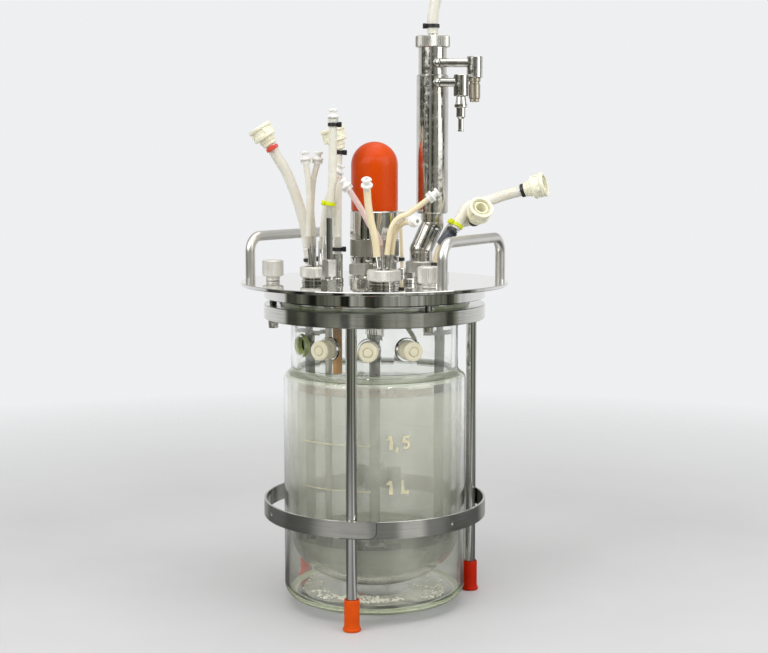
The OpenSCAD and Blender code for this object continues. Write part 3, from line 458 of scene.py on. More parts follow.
residue = patchy(material("base_residue", (0.80, 0.79, 0.68), (0.74, 0.73, 0.60), 120.0, (0.6, 0.8)),
                 0.08, 0.45, 40.0, 0.46, 0.62)
mark_print = patchy(material("mark_print", (0.84, 0.79, 0.54), (0.80, 0.72, 0.46), 60.0, (0.5, 0.65)),
                    0.45, 0.85, 60.0, 0.35, 0.65)
shoulder_milk = patchy(material("shoulder_milk", (0.64, 0.68, 0.55), (0.56, 0.62, 0.46), 40.0, (0.5, 0.6)),
                       0.30, 0.44, 16.0, 0.3, 0.7)
back_milk = patchy(material("back_milk", (0.95, 0.96, 0.90), (0.55, 0.64, 0.28), 9.0, (0.5, 0.6)),
                   0.25, 0.40, 16.0, 0.3, 0.7)
# green of the flange glass, its real tint, mixed with pale patches painted as highlights
green_glass_and_highlights = patchy(material("green_glass_and_highlights", (0.26, 0.34, 0.08), (0.84, 0.86, 0.68), 45.0, (0.3, 0.4)),
                     0.60, 0.80, 16.0, 0.3, 0.7)
port_green = patchy(material("port_green", (0.42, 0.52, 0.10), (0.62, 0.70, 0.34), 60.0, (0.3, 0.4)),
                    0.45, 0.65, 30.0, 0.3, 0.7)
dish_milk = patchy(material("dish_milk", (0.97, 0.98, 0.84), (0.93, 0.95, 0.80), 50.0, (0.5, 0.6)),
                   0.45, 0.78, 26.0, 0.38, 0.62)
crystal = material("lime_crystals", (0.90, 0.88, 0.78), (0.82, 0.80, 0.66), 200.0, (0.4, 0.6))
tan_film = patchy(material("tan_stain", (0.60, 0.46, 0.32), (0.66, 0.58, 0.46), 60.0, (0.5, 0.6)),
                  0.30, 0.55, 30.0, 0.35, 0.65)
# dark lines in the shoulder: painted shade where its curved glass bends the light
shoulder_shade_line = patchy(material("shoulder_shade_line", (0.10, 0.11, 0.09), (0.16, 0.17, 0.14), 60.0, (0.4, 0.5)),
                   0.35, 0.85, 40.0, 0.35, 0.65)
# a pale film on the base's rounded edge: a painted glow of the light in the glass
painted_edge_glow = patchy(material("base_edge_painted_glow", (0.82, 0.86, 0.66), (0.76, 0.81, 0.60), 40.0, (0.5, 0.6)),
                   0.70, 0.80, 20.0, 0.3, 0.7)


# ---- cords: hoses, their routes repeated from part.scad ----
def hose_curve(name, route, diameter, finish, into):
    """A smooth curve through the route's points; into is how far its end goes into the fitting."""
    points = [on_deck(p) for p in route]
    last = (points[-1] - points[-2]).normalized()
    points.append(points[-1] + last * into * MM)
    data = bpy.data.curves.new(name, "CURVE")
    data.dimensions = "3D"
    data.bevel_depth = diameter * MM / 2
    data.bevel_resolution = 6
    data.resolution_u = 8
    data.use_fill_caps = True
    spline = data.splines.new("BEZIER")
    spline.bezier_points.add(len(points) - 1)
    for knot, p in zip(spline.bezier_points, points):
        knot.co = p
        knot.handle_left_type = knot.handle_right_type = "AUTO"
    piece = bpy.data.objects.new(name, data)
    scene.collection.objects.link(piece)
    length = sum((b - a).length for a, b in zip(points, points[1:]))
    settle(piece, finish, (name.replace("cord_", "hose_"),))
    return piece, points[0], length


HOSES = {
    "harvest": (9.0, hose_on_barb, "clear_silicone", [
        (-55, 12, 13.5), (-56, 12, 21.5), (-59, 12, 41.5), (-63, 12, 58.5), (-69, 12, 76.5),
        (-76, 12, 93.5), (-84, 12, 106.5), (-88.5, 12, 114.5)]),
    "feed_1": (5.0, hose_on_pipe, "clear_silicone", [
        (-56, -17, 28.5), (-55.5, -17, 38.5), (-54.5, -17, 59.5), (-54.5, -17, 71.5),
        (-55.5, -17, 87.5), (-57, -17, 98.5)]),
    "feed_2": (5.0, hose_on_pipe, "clear_silicone", [
        (-51.5, -10, 28.5), (-51.5, -10, 38.5), (-53, -10, 59.5), (-52.5, -10, 71.5),
        (-51, -10, 86.5), (-48, -10, 98.5)]),
    "feed_3": (5.0, hose_on_pipe, "clear_silicone", [
        (-44, -21.5, 28.5), (-43.5, -24, 38.5), (-42, -28, 52.5), (-39.5, -31, 67.5),
        (-35.5, -32, 78.5), (-31.5, -32.5, 88.5)]),
    "sample": (6.6, hose_on_sampler, "clear_silicone", [
        (-37, -45, 55), (-36, -45, 68.5), (-34.5, -45, 83.5), (-34, -45, 105.5), (-33.5, -45, 132.5)]),
    "air": (7.2, hose_on_pipe, "clear_silicone", [
        (-31, -20, 24.5), (-31, -20, 46.5), (-31, -20, 68.5), (-30.5, -20, 88.5),
        (-30.5, -20, 101.5), (-30, -20, 110.5)]),
    "acid": (5.0, pink_hose, "clear_silicone", [
        (4.5, -48, 24.5), (4.5, -48, 34), (2.5, -48, 40), (-0.5, -48, 44.5), (-3.5, -48, 49),
        (-11, -48, 62.5), (-20.5, -48, 77.5)]),
    "base": (6.0, tan_hose, "tan_silicone", [
        (2, -58, 24), (0.5, -58, 37.5), (-3, -58, 53.5), (-5, -58, 65.5), (-6, -58, 78)]),
    "antifoam": (4.4, tan_hose, "tan_silicone", [
        (10, -56, 25.5), (11.5, -56, 36.5), (13, -56, 45.5), (16.5, -56, 52.5),
        (20.5, -56, 56), (25.5, -56, 58), (31, -56, 61.5), (43, -56, 70.5)]),
    "medium": (4.4, tan_hose, "tan_silicone", [
        (14, -51, 25.5), (15.5, -50.5, 37.5), (18, -50, 45.5), (22.5, -52, 50.5), (29, -57, 52.5)]),
    "bypass": (4.2, tan_hose, "tan_silicone", [
        (50, -22, 5.5), (50, -21.5, 9.5), (50.5, -20, 16.5), (52, -20, 24.5),
        (54.5, -20, 30.5), (56, -20, 33)]),
    "transfer": (9.2, hose_plain, "clear_silicone", [
        (67, -20, 45), (69.5, -19, 49.5), (72.5, -15, 54.5), (75, -11, 59), (79, -6, 63),
        (88, 1, 65.5), (100.5, 1, 69), (110, -2, 72.5), (126.5, -8, 77)]),
    "spare": (9.0, hose_on_barb, "clear_silicone", [
        (59, 20, 11.5), (59, 20, 21.5), (60, 18, 31.5), (64, 12, 41.5), (70, 4, 48),
        (77, -5, 50.5), (84.5, -14, 52.5)]),
    "vent_thin": (3.0, tan_hose, "tan_silicone", [
        (24.5, 69, 6), (24.5, 69, 13.5), (24, 69, 26.5), (23.5, 69, 39.5), (23.5, 69, 46.5)]),
    "vent": (9.4, hose_plain, "clear_silicone", [
        (48.9, 4, 207), (48.9, 4, 219.5), (51.5, 4, 234.5), (56, 4, 249.5), (60.5, 4, 260.5)]),
}
INTO_FITTING = {"vent": 4.0, "bypass": 1.6}
INTO_OTHERS = 3.0
hoses = {
    key: hose_curve("cord_" + key, route, d, finish, INTO_FITTING.get(key, INTO_OTHERS))
    for key, (d, finish, slot, route) in HOSES.items()
}

# the short dark sleeve joins the bypass hose to the transfer hose
sleeve_route = [on_deck(p) for p in [
    (55, -20, 31.5), (57.2, -20, 34.8), (59.6, -20, 38), (62.8, -20, 41.3), (67, -20, 44.9)]]
sleeve = Build().tube(sleeve_route, [3.7, 4.0, 4.05, 4.0, 3.9]).done(
    "rubber_sleeve", dark_sleeve, slot="fitting_plastic", replaces=("hose_fittings",))

# ---- couplings and luers: kind, start, a point further along the axis ----
FITTINGS = {
    "harvest": ("coupling", (-88.5, 12, 114.5), (-94, 12, 123)),
    "air": ("coupling", (-30, -20, 110.5), (-33, -20, 120.5)),
    "transfer": ("coupling", (126.5, -8, 77), (141, -13, 81.5)),
    "spare": ("coupling", (84.5, -14, 52.5), (88.5, -27, 63)),
    "vent": ("coupling", (60.5, 4, 260.5), (65, 4, 271)),
    "feed_1": ("luer", (-57, -17, 98.5), (-58, -17, 108.5)),
    "feed_2": ("luer", (-48, -10, 98.5), (-47, -10, 108.5)),
    "feed_3": ("luer", (-31.5, -32.5, 88.5), (-26.5, -32.5, 101.5)),
    "sample": ("luer", (-33.5, -45, 132.5), (-33.5, -45, 144)),
    "acid": ("luer", (-20.5, -48, 77.5), (-26, -48, 85)),
    "base": ("luer", (-6, -58, 78), (-6.5, -64, 88)),
    "antifoam": ("luer", (43, -56, 70.5), (53, -56, 78)),
    "medium": ("luer", (29, -57, 52.5), (33.5, -64, 53)),
    "vent_thin": ("luer", (23.5, 69, 46.5), (23.5, 69, 56)),
}
COUPLING = [
    (4.2, 0), (5.6, 0), (6.2, 0.6), (6.2, 2.9), (6.6, 3.3), (7.0, 3.8), (7.0, 6.8),
    (9.4, 7.0), (10.0, 7.5), (10.0, 9.9), (9.5, 10.4), (9.3, 10.6), (9.2, 11.0), (9.2, 14.6), (9.4, 15.0),
    (9.9, 15.2), (10.5, 15.8), (10.5, 17.5), (10.0, 18.2),
    (8.2, 18.2), (7.8, 17.8), (7.8, 14.0), (5.6, 13.4), (5.6, 17.0), (4.6, 17.0), (4.5, 7.0), (4.2, 6.0),
]
LUER = [
    (1.6, 0), (2.4, 0), (2.7, 0.4), (2.7, 3.2), (4.4, 3.4), (4.8, 3.8), (4.8, 5.0), (4.4, 5.4), (2.8, 5.6),
    (2.6, 8.2), (3.4, 8.4), (3.8, 8.8), (3.8, 10.2), (3.4, 10.6), (1.6, 10.6), (1.45, 6.0),
]
fittings = {}
for key, (kind, start, ahead) in FITTINGS.items():
    place = aim(on_deck(start), on_deck(ahead))
    build = Build()
    if kind == "coupling":
        build.lathe(COUPLING, 56, place)
        for k in range(4):
            build.box((1.4, 3.0, 4.4), moved(spun(place, 90 * k + 20), 9.4, 0, 12.8), 0.5)
        finish = coupling_plastic
    else:
        build.lathe(LUER, 36, place)
        for side in (-1, 1):
            build.box((2.6, 0.9, 3.6), moved(place, side * 3.1, 0, 2.2), 0.3)
        for k in range(2):
            build.box((1.0, 2.2, 0.8), moved(spun(place, 180 * k + 90), 3.7, 0, 9.7), 0.2)
        finish = luer_plastic
    fittings[key] = build.done(f"{kind}_{key}", finish, slot="fitting_plastic", replaces=("hose_fittings",))

# ---- cable ties: centre, a point further along the hose, hose diameter, head's angle, colour ----
TIES = {
    "harvest_low": ((-55.5, 12, 17), (-56, 12, 21.5), 9, 180, tie_black),
    "harvest_high": ((-87, 12, 112), (-88.5, 12, 114.5), 9, 90, tie_red),
    "sample_low": ((-36.3, -45, 66.5), (-36, -45, 68.5), 6.6, 180, tie_yellow),
    "sample_high": ((-33.5, -45, 130.5), (-33.5, -45, 132.5), 6.6, 0, tie_black),
    "air_low": ((-31, -20, 28), (-31, -20, 46.5), 7.2, 0, tie_black),
    "air_high": ((-30.1, -20, 108.4), (-30, -20, 110.5), 7.2, 0, tie_black),
    "bypass": ((50.4, -20.3, 15), (50.5, -20, 16.5), 4.2, 0, tie_black),
    "sleeve": ((64.5, -20, 42.6), (66.5, -20, 44.5), 8, 90, tie_black),
    "transfer_low": ((68.6, -19.4, 47.9), (69.5, -19, 49.5), 9.2, 180, tie_yellow),
    "transfer_high": ((125, -7.5, 76.6), (126.5, -8, 77), 9.2, 90, tie_black),
    "spare": ((83.4, -12.7, 52.2), (84.5, -14, 52.5), 9, 90, tie_black),
    "vent_thin": ((24.5, 69, 13.5), (24.4, 69, 16), 3, 0, tie_black),
    "vent": ((48.9, 4, 213.5), (48.9, 4, 219.5), 9.4, 180, tie_black),
}
tie_pieces = {}
for key, (centre, ahead, d, head, finish) in TIES.items():
    place = aim(on_deck(centre), on_deck(ahead))
    r = d / 2
    strap = [(r - 0.15, -1.5), (r + 0.85, -1.5), (r + 1.1, -1.25), (r + 1.1, 1.25), (r + 0.85, 1.5), (r - 0.15, 1.5)]
    build = Build().lathe(strap, 48, place)
    turn = spun(place, head)
    build.box((3.6, 4.4, 4.2), moved(turn, r + 1.9, 0, 0), 0.5)
    build.box((1.0, 2.4, 3.0), moved(turn, r + 1.2, -2.6, 0), 0.2)
    build.box((1.1, 1.4, 2.6), moved(turn, r + 2.2, 2.6, 0), 0.2)
    tie_pieces[key] = build.done(f"tie_{key}", finish, slot="tie_nylon", replaces=("cable_ties",))

for key, (piece, start, length) in hoses.items():
    carried = [tie_pieces[k] for k in TIES if k.startswith(key) and (key != "vent" or k == "vent")]
    if key in fittings:
        carried.append(fittings[key])
    if key == "bypass":
        carried.append(sleeve)
    if key == "transfer":
        carried.append(tie_pieces["sleeve"])

# ---- glass vessel, with smooth walls, fused port tubes and the jacket's cavity ----
BORE, NECK, JACKET, FLANGE = 66.5, 71.5, 78.0, 80.5  # radii
JACKET_T, BASE_T, DISH_T = 3.0, 4.0, 5.0  # walls
BASE_Z, DISH_Z, DISH_DEPTH = 7.0, 60.0, 38.0
BASE_ROUND = 10.5
FLANGE_TOP = flange_top / MM
FLANGE_Z = FLANGE_TOP - 11.2
SHOULDER_Z = FLANGE_TOP - 68.2
SHOULDER_R, SHOULDER_BEND = 7.5, 60.0
PORT_Z = FLANGE_TOP - 35.2
PORT_ANGLES = (-56.6, -30.7, -3.6, 20.9)
NOZZLES = ((172, DISH_Z - 30), (188, SHOULDER_Z - 14))  # angle from the front, height
# (radius, distance from the vessel's axis) along a port or a nozzle
PORT_RIM = [(0, 68.5), (9.75, 68.5), (9.75, 73.0), (9.5, 73.6), (8.9, 73.8), (0, 73.8)]
PORT_HOLE = [(0, 58), (7.0, 58), (7.0, 75), (0, 75)]
NOZZLE = [(0, 76.6), (5, 76.6), (5, 90), (5.4, 92), (5, 94), (5.4, 96), (4.6, 99.6), (4.2, 100), (0, 100)]
NOZZLE_HOLE = [(0, 72.2), (3, 72.2), (3, 102), (0, 102)]
GLASS_SHARP = 28.0


def arc(centre, rx, ry, start, end, steps=12):
    return [
        (centre[0] + rx * math.cos(math.radians(start + (end - start) * i / steps)),
         centre[1] + ry * math.sin(math.radians(start + (end - start) * i / steps)))
        for i in range(steps + 1)
    ]


bend = math.radians(SHOULDER_BEND)
bend_x = JACKET - SHOULDER_R * (1 - math.cos(bend))
bend_z = SHOULDER_Z + SHOULDER_R * math.sin(bend)
sweep_r = (bend_x - NECK) / (1 - math.cos(bend))
outside = (
    [(0, BASE_Z)]
    + arc((JACKET - BASE_ROUND, BASE_Z + BASE_ROUND), BASE_ROUND, BASE_ROUND, -90, 0)
    + arc((JACKET - SHOULDER_R, SHOULDER_Z), SHOULDER_R, SHOULDER_R, 0, SHOULDER_BEND)
    + arc((NECK + sweep_r, bend_z + sweep_r * math.sin(bend)), sweep_r, sweep_r, 180 + SHOULDER_BEND, 180)
    + [(NECK, FLANGE_Z - 2.5), (NECK + 0.5, FLANGE_Z - 1.0), (NECK + 1.4, FLANGE_Z - 0.02), (FLANGE - 0.6, FLANGE_Z),
       (FLANGE, FLANGE_Z + 0.6), (FLANGE, FLANGE_TOP - 1.2), (FLANGE - 0.35, FLANGE_TOP - 0.35),
       (FLANGE - 1.2, FLANGE_TOP)]
)
inside = arc((0, DISH_Z), BORE, DISH_DEPTH, 0, -90, 28)
wall = outside + [(BORE, FLANGE_TOP)] + inside[:-1] + [(0, DISH_Z - DISH_DEPTH)]
cavity_r = SHOULDER_R - JACKET_T
cavity_round = BASE_ROUND - JACKET_T
cavity_top = math.degrees(math.acos((NECK - JACKET + SHOULDER_R) / cavity_r))
cavity = (
    [(0, BASE_Z + BASE_T)]
    + arc((JACKET - BASE_ROUND, BASE_Z + BASE_T + cavity_round), cavity_round, cavity_round, -90, 0)
    + arc((JACKET - SHOULDER_R, SHOULDER_Z), cavity_r, cavity_r, 0, cavity_top)
    + arc((0, DISH_Z), NECK, DISH_DEPTH + DISH_T, 0, -90, 28)[:-1]
    + [(0, DISH_Z - DISH_DEPTH - DISH_T)]
)
WALL_STEPS, PORT_STEPS, NOZZLE_STEPS, HOLE_STEPS = 288, 64, 48, 32


def tool(profile, steps, place=None):
    made = bpy.data.objects.new("tool", Build().lathe(profile, steps, place).mesh("tool"))
    scene.collection.objects.link(made)
    return made


def carve(base, others):
    """Joins or cuts the others with base, one after another, and removes them."""
    for operation, other in others:
        step = base.modifiers.new("step", "BOOLEAN")
        step.operation = operation
        step.solver = "EXACT"
        step.object = other
    ready = base.evaluated_get(bpy.context.evaluated_depsgraph_get())
    data = bpy.data.meshes.new_from_object(ready)
    for _, other in others:
        bpy.data.objects.remove(other)
    base.modifiers.clear()
    base.data = data


vessel = tool(wall, WALL_STEPS)
vessel.name = "glass_walls"
cuts = [("DIFFERENCE", tool(cavity, WALL_STEPS))]
cuts += [("UNION", tool(PORT_RIM, PORT_STEPS, around(angle, PORT_Z))) for angle in PORT_ANGLES]
cuts += [("UNION", tool(NOZZLE, NOZZLE_STEPS, around(angle, height))) for angle, height in NOZZLES]
cuts += [("DIFFERENCE", tool(PORT_HOLE, PORT_STEPS, around(angle, PORT_Z))) for angle in PORT_ANGLES]
cuts += [("DIFFERENCE", tool(NOZZLE_HOLE, HOLE_STEPS, around(angle, height))) for angle, height in NOZZLES]
carve(vessel, cuts)
smooth(vessel.data, GLASS_SHARP)
settle(vessel, glass, replaces=("glass_vessel", "water_jacket", "jacket_nozzles"))

# dried haze on the inside of the inner vessel, below the neck
HAZE_TOP = 189.0
HAZE_GAP, HAZE_BACK = 0.12, 0.3  # distances of the film's two faces from the glass
FILM_STEPS = 128
skin = arc((0, DISH_Z), BORE - HAZE_GAP, DISH_DEPTH - HAZE_GAP, -90, 0, 28) + [(BORE - HAZE_GAP, HAZE_TOP)]
inner = [(BORE - HAZE_BACK, HAZE_TOP - 0.1)] + arc((0, DISH_Z), BORE - HAZE_BACK, DISH_DEPTH - HAZE_BACK, 0, -90, 28)
Build().lathe(skin + inner, FILM_STEPS).done("dried_haze", haze, slot="borosilicate_glass")


def band(name, profile, start, end, finish):
    """Sweeps (radius, height) points from one angle to another, measured from the front towards +X."""
    steps = 80
    angles = [start + (end - start) * i / steps for i in range(steps + 1)]
    rows = [[on_circle(r, angle, z) for r, z in profile] for angle in angles]
    Build().strip(rows).done(name, finish, slot="borosilicate_glass")


# tan strip above the haze at the front, milky glass in the shoulder, dark lines painted in it as shade where its
# curved glass bends the light, and green tints, the flange's with pale patches painted as highlights
SHOULDER_SHADE_LINES, LINE_R = ((70.4, 207.0), (70.6, 203.9), (74.6, 200.6)), 0.22  # radius and height of each, and thickness
FLANGE_TINT = [(79.7, 257.5), (79.7, 262.4), (79.5, 262.4), (79.5, 257.5)]
PORT_TINT = [(8.3, 67.6), (8.3, 73.2), (8.1, 73.2), (8.1, 67.6)]
band("tan_strip", [(BORE - HAZE_GAP, 188.6), (BORE - HAZE_GAP, 198.2)], -66, 43, tan_film)
top_z = bend_z + sweep_r * math.sin(bend)
milk = (arc((JACKET - SHOULDER_R, SHOULDER_Z), 6.3, 6.3, 22, 60, 8)
        + arc((NECK + sweep_r, top_z), sweep_r + 1.2, sweep_r + 1.2, 240, 180, 8))
band("shoulder_milk", milk, -100, 100, shoulder_milk)
band("shoulder_back", milk, 100, 260, back_milk)
for k, (r, z) in enumerate(SHOULDER_SHADE_LINES):
    points = [on_circle(r, angle, z) for angle in range(-72, 73, 3)]
    Build().tube(points, LINE_R, 8).done(f"shoulder_shade_line_{k}", shoulder_shade_line, slot="borosilicate_glass")
Build().lathe(FLANGE_TINT, FILM_STEPS).done("flange_tint", green_glass_and_highlights, slot="borosilicate_glass")
Build().lathe(PORT_TINT, 48, around(PORT_ANGLES[0], PORT_Z)).done("port_tint", port_green, slot="borosilicate_glass")

# lime haze on the inside of the jacket's outer wall
LIME_GAP, LIME_FROM = 0.15, 20.0
skin = [(JACKET - JACKET_T - LIME_GAP, LIME_FROM)]
skin += arc((JACKET - SHOULDER_R, SHOULDER_Z), cavity_r - LIME_GAP, cavity_r - LIME_GAP, 0, 80)
inner = [(r - LIME_GAP, z - LIME_GAP) for r, z in reversed(skin[1:])]
inner.append((JACKET - JACKET_T - 2 * LIME_GAP, LIME_FROM))
Build().lathe(skin + inner, FILM_STEPS).done("jacket_haze", jacket_haze, slot="borosilicate_glass")

# lime on the dish, inside
DISH_GAP = 0.6
dish = arc((0, DISH_Z), BORE - DISH_GAP, DISH_DEPTH - DISH_GAP, -78, 2, 16)
band("dish_milk", dish, 0, 360, dish_milk)

# lime crystals on the base inside the jacket, most of them at the front:
# first and last angle, least and greatest radius, how many
HEAPS = (
    (-42, 6, 30, 48, 240), (-76, -42, 42, 56, 60), (6, 32, 38, 47, 40), (50, 90, 44, 62, 45), (90, 280, 30, 69, 50),
)
CRYSTAL_Z = BASE_Z + BASE_T + 0.3
grains = random.Random(7)
lumps = Build()
for start, end, near, far, count in HEAPS:
    for _ in range(count):
        angle = grains.uniform(start, end)
        r = grains.uniform(near, far)
        size = grains.uniform(0.4, 1.3)
        spot = Matrix.Translation(on_circle(r, angle, CRYSTAL_Z))
        spin = Matrix.Rotation(grains.uniform(0, 6), 4, "Z")
        shape = Matrix.Diagonal((size * 1.4 * MM, size * MM, size * 0.7 * MM, 1.0))
        bmesh.ops.create_icosphere(lumps.bm, subdivisions=1, radius=1.0, matrix=spot @ spin @ shape)
lumps.done("lime_crystals", crystal, slot="borosilicate_glass")

# residue on the base inside the jacket, and a pale film on the base's rounded edge that is a painted glow of light
# in the glass
residue_top = [(30, 11.35), (46, 11.3), (62, 11.35)]
residue_under = [(r - 0.1, z - 0.2) for r, z in reversed(residue_top)]
Build().lathe(residue_top + residue_under, FILM_STEPS).done(
    "base_residue", residue, slot="borosilicate_glass")
edge_centre = (JACKET - BASE_ROUND, BASE_Z + BASE_ROUND)
edge = arc(edge_centre, 9.6, 9.6, -88, -40, 10) + arc(edge_centre, 9.1, 9.1, -40, -88, 10)
Build().lathe(edge, 320).done("base_edge_painted_glow", painted_edge_glow, slot="borosilicate_glass")

# threads of the clamp studs where they cross the gap between the ring and the plate
STUD_CIRCLE_R, STUD_ANGLES = 86.5, (30, 150, -90)
STUD_R, CREST_R, CORE_R, PITCH = 3.0, 3.28, 2.6, 1.0
GAP_LOW, TURNS = 260.05, 5
thread = [(STUD_R, GAP_LOW)]
for k in range(TURNS):
    thread += [(CREST_R, GAP_LOW + (k + 0.5) * PITCH), (STUD_R, GAP_LOW + (k + 1) * PITCH)]
thread += [(CORE_R, GAP_LOW + TURNS * PITCH), (CORE_R, GAP_LOW)]
for angle in STUD_ANGLES:
    Build().lathe(thread, 32, moved(spun(Matrix(), angle), 0, -STUD_CIRCLE_R, 0)).done(
        f"stud_thread_{angle % 360}", satin, slot="satin_steel")

# longer end of the left stud under the ring
stud_end = [(0, 238.2), (3.9, 238.2), (4.4, 238.7), (4.4, 242.0), (4.6, 242.4), (4.6, 243.0), (0, 243.0)]
Build().lathe(stud_end, 40, moved(spun(Matrix(), STUD_ANGLES[-1]), 0, -STUD_CIRCLE_R, 0)).done(
    "stud_end", satin, slot="satin_steel")

# tie at the lower end of the cream sleeve under the plate
sleeve_end, sleeve_knee = Vector((36.5, 20.0, 223.2)) * MM, Vector((27.2, 20.0, 244.0)) * MM
end_tie = aim(sleeve_end + (sleeve_knee - sleeve_end).normalized() * 2.2 * MM, sleeve_end)
build = Build().lathe([(2.15, -1.1), (3.1, -1.1), (3.3, -0.9), (3.3, 0.9), (3.1, 1.1), (2.15, 1.1)], 40, end_tie)
build.box((2.4, 3.0, 2.8), moved(end_tie, 4.2, 0, 0), 0.4)
build.done("tie_inner_sleeve", tie_black, slot="tie_nylon")

# volume marks on the outside of the jacket: plain numbers and lines
MARK_R = JACKET + 0.08
LINE_START, LINE_SWEEP, LINE_HALF, LINE_STEPS = -50, 48, 0.36, 40
LINE_HEIGHTS = (150.7, 112.8)
WORDS = (("1,5", 7.0, 147.0, 11.7), ("1 L", 7.0, 110.4, 11.4))  # text, angle of its start, foot, figure height

# width of each figure and its strokes as centre lines, all in figure heights
STROKE, SPACING = 0.16, 0.16
FIGURES = {
    "1": (0.46, [[(0.0, 0.74), (0.16, 0.80), (0.30, 0.96)], [(0.33, 1.0), (0.33, 0.0)]]),
    ",": (0.30, [[(0.16, 0.20), (0.15, 0.02), (0.07, -0.14)]]),
    "5": (0.62, [[(0.60, 0.895), (0.20, 0.895), (0.13, 0.48)],
                 arc((0.295, 0.345), 0.24, 0.24, 128, -140, 14)]),
    "L": (0.58, [[(0.11, 1.0), (0.11, 0.0)], [(0.11, 0.105), (0.58, 0.105)]]),
    " ": (0.30, []),
}


def ribbon(points, half):
    """The two edges of a flat stroke along a centre line."""
    edges = []
    for i, p in enumerate(points):
        before = Vector(p) - Vector(points[max(i - 1, 0)])
        after = Vector(points[min(i + 1, len(points) - 1)]) - Vector(p)
        before, after = (before or after).normalized(), (after or before).normalized()
        across = (before + after).normalized().orthogonal()
        reach = half / max(across.dot(after.orthogonal()), 0.5)
        edges.append((Vector(p) + across * reach, Vector(p) - across * reach))
    return edges


def wrapped_figures(build, words, angle, height, tall):
    """Figures bent round the jacket, starting at that angle from the front."""
    start = 0.0
    for figure in words:
        width, strokes = FIGURES[figure]
        for stroke in strokes:
            build.strip([
                [on_circle(MARK_R, angle + math.degrees((start + p.x) * tall / MARK_R), height + p.y * tall)
                 for p in pair]
                for pair in ribbon(stroke, STROKE / 2)
            ])
        start += width + SPACING


marks = Build()
for words, angle, height, tall in WORDS:
    wrapped_figures(marks, words, angle, height, tall)
for height in LINE_HEIGHTS:
    marks.strip([
        [on_circle(MARK_R, LINE_START + LINE_SWEEP * i / LINE_STEPS, height + dz) for dz in (-LINE_HALF, LINE_HALF)]
        for i in range(LINE_STEPS + 1)
    ])
mark_data = bpy.data.meshes.new("volume_marks")
marks.bm.to_mesh(mark_data)
marks.bm.free()
mark_piece = bpy.data.objects.new("volume_marks", mark_data)
scene.collection.objects.link(mark_piece)
settle(mark_piece, mark_print)

# a dark line painted as shade along the edge of the support band's lapped end: down from the top, round the corner
# and along the bottom
LAP_ANGLE, LAP_TURN = 0.8, 4.0  # degrees from the front, and how far the rounded corner goes back
LAP_CORNER, LAP_INSET = 6.0, 0.4  # the corner's height, and how far the line stays off the band's edges
lap_r, lap_low = -band_low.y / MM + 0.05, band_low.z / MM
lap_shade_line = [(LAP_ANGLE, band_high.z / MM - LAP_INSET), (LAP_ANGLE, lap_low + LAP_CORNER)]
lap_shade_line += arc((LAP_ANGLE - LAP_TURN, lap_low + LAP_CORNER), LAP_TURN, LAP_CORNER - LAP_INSET, -10, -90, 8)
lap_shade_line += [(-angle, lap_low + LAP_INSET) for angle in range(5, 18, 3)]
points = [on_circle(lap_r, angle, z) for angle, z in lap_shade_line]
Build().tube(points, 0.35, 8).done("band_lap_shade_line", black_rubber_and_shade, slot="satin_steel")

# ---- materials of the CAD nodes that stay ----
FINISHES = {
    mirror: ("head_plate",),
    drive_steel: ("drive_housing",),
    leg_steel: ("leg_front", "leg_right", "leg_left"),
    pipe_steel: ("sampling_pipe",),
    handle_steel: ("handle_right", "handle_left"),
    polished: ("port_insert_left", "port_insert_front", "coolant_nipple"),
    painted_shade_steel: ("stirrer_shaft", "impeller_upper", "impeller_lower", "baffle_cage"),
    worn: ("condenser_body",),
    satin: ("gland_bodies", "small_plug", "hose_barbs", "air_port", "clamp_studs"),
    brushed_ring: ("clamp_ring",),
    brushed_band: ("support_band",),
    milled: ("gland_nut", "blind_nut", "condenser_nut", "condenser_collar"),
    knurled: ("clamp_nut_front", "clamp_nut_rear", "clamp_nut_left", "collar_left", "collar_front"),
    bronze: ("coolant_coupler",),
    orange: ("drive_cap",),
    foot_orange: ("foot_front",),
    foot_red: ("foot_right", "foot_left"),
    black_rubber_and_shade: ("lid_gasket",),
    amber: ("inner_sleeves",),
    cream: ("side_plug_left", "side_plug_middle", "side_plug_right"),
}
for finish, names in FINISHES.items():
    for name in names:
        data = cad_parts[name].data
        data.materials.clear()
        data.materials.append(finish)

# ---- what polished steel sees: brightness by bearing, in degrees from the front towards +X ----
BENCH = (
    (-180, 0.30), (-140, 0.26), (-125, 0.04), (-62, 0.05), (-46, 0.26), (-8, 0.32), (2, 0.14), (18, 0.14),
    (26, 0.46), (42, 0.42), (50, 0.04), (120, 0.03), (135, 0.30), (180, 0.30),
)
ROOM = (
    (-180, 0.88), (-125, 0.86), (-106, 0.70), (-101, 0.07), (-87, 0.06), (-84, 0.12), (-72, 0.11), (-70, 0.012),
    (-63, 0.012), (-60, 0.06), (-52, 0.12), (-36, 0.18), (-34, 0.015), (-26, 0.015), (-24, 0.30), (-12, 0.32),
    (-9, 0.05), (4, 0.05), (9, 0.18), (17, 0.36), (25, 0.36), (30, 0.27), (36, 0.36),
    (50, 0.30), (58, 0.17), (78, 0.13), (81, 0.05), (88, 0.05), (91, 0.38),
    (108, 0.74), (125, 0.86), (180, 0.88),
)


def by_direction(tree, x, y, levels):
    """The level at that bearing, and the bearing itself in radians."""
    bearing = math_node(tree, "ARCTAN2", x, math_node(tree, "MULTIPLY", y, -1.0))
    turn = math_node(tree, "ADD", math_node(tree, "MULTIPLY", bearing, 0.5 / math.pi), 0.5)
    ramp = add(tree, "ValToRGB", {"Fac": turn})
    stops = ramp.color_ramp.elements
    for i, (degrees, value) in enumerate(levels):
        position = degrees / 360 + 0.5
        stop = stops[i] if i < 2 else stops.new(position)
        stop.position = position
        stop.color = (value, value, value, 1)
    return ramp.outputs["Color"], bearing


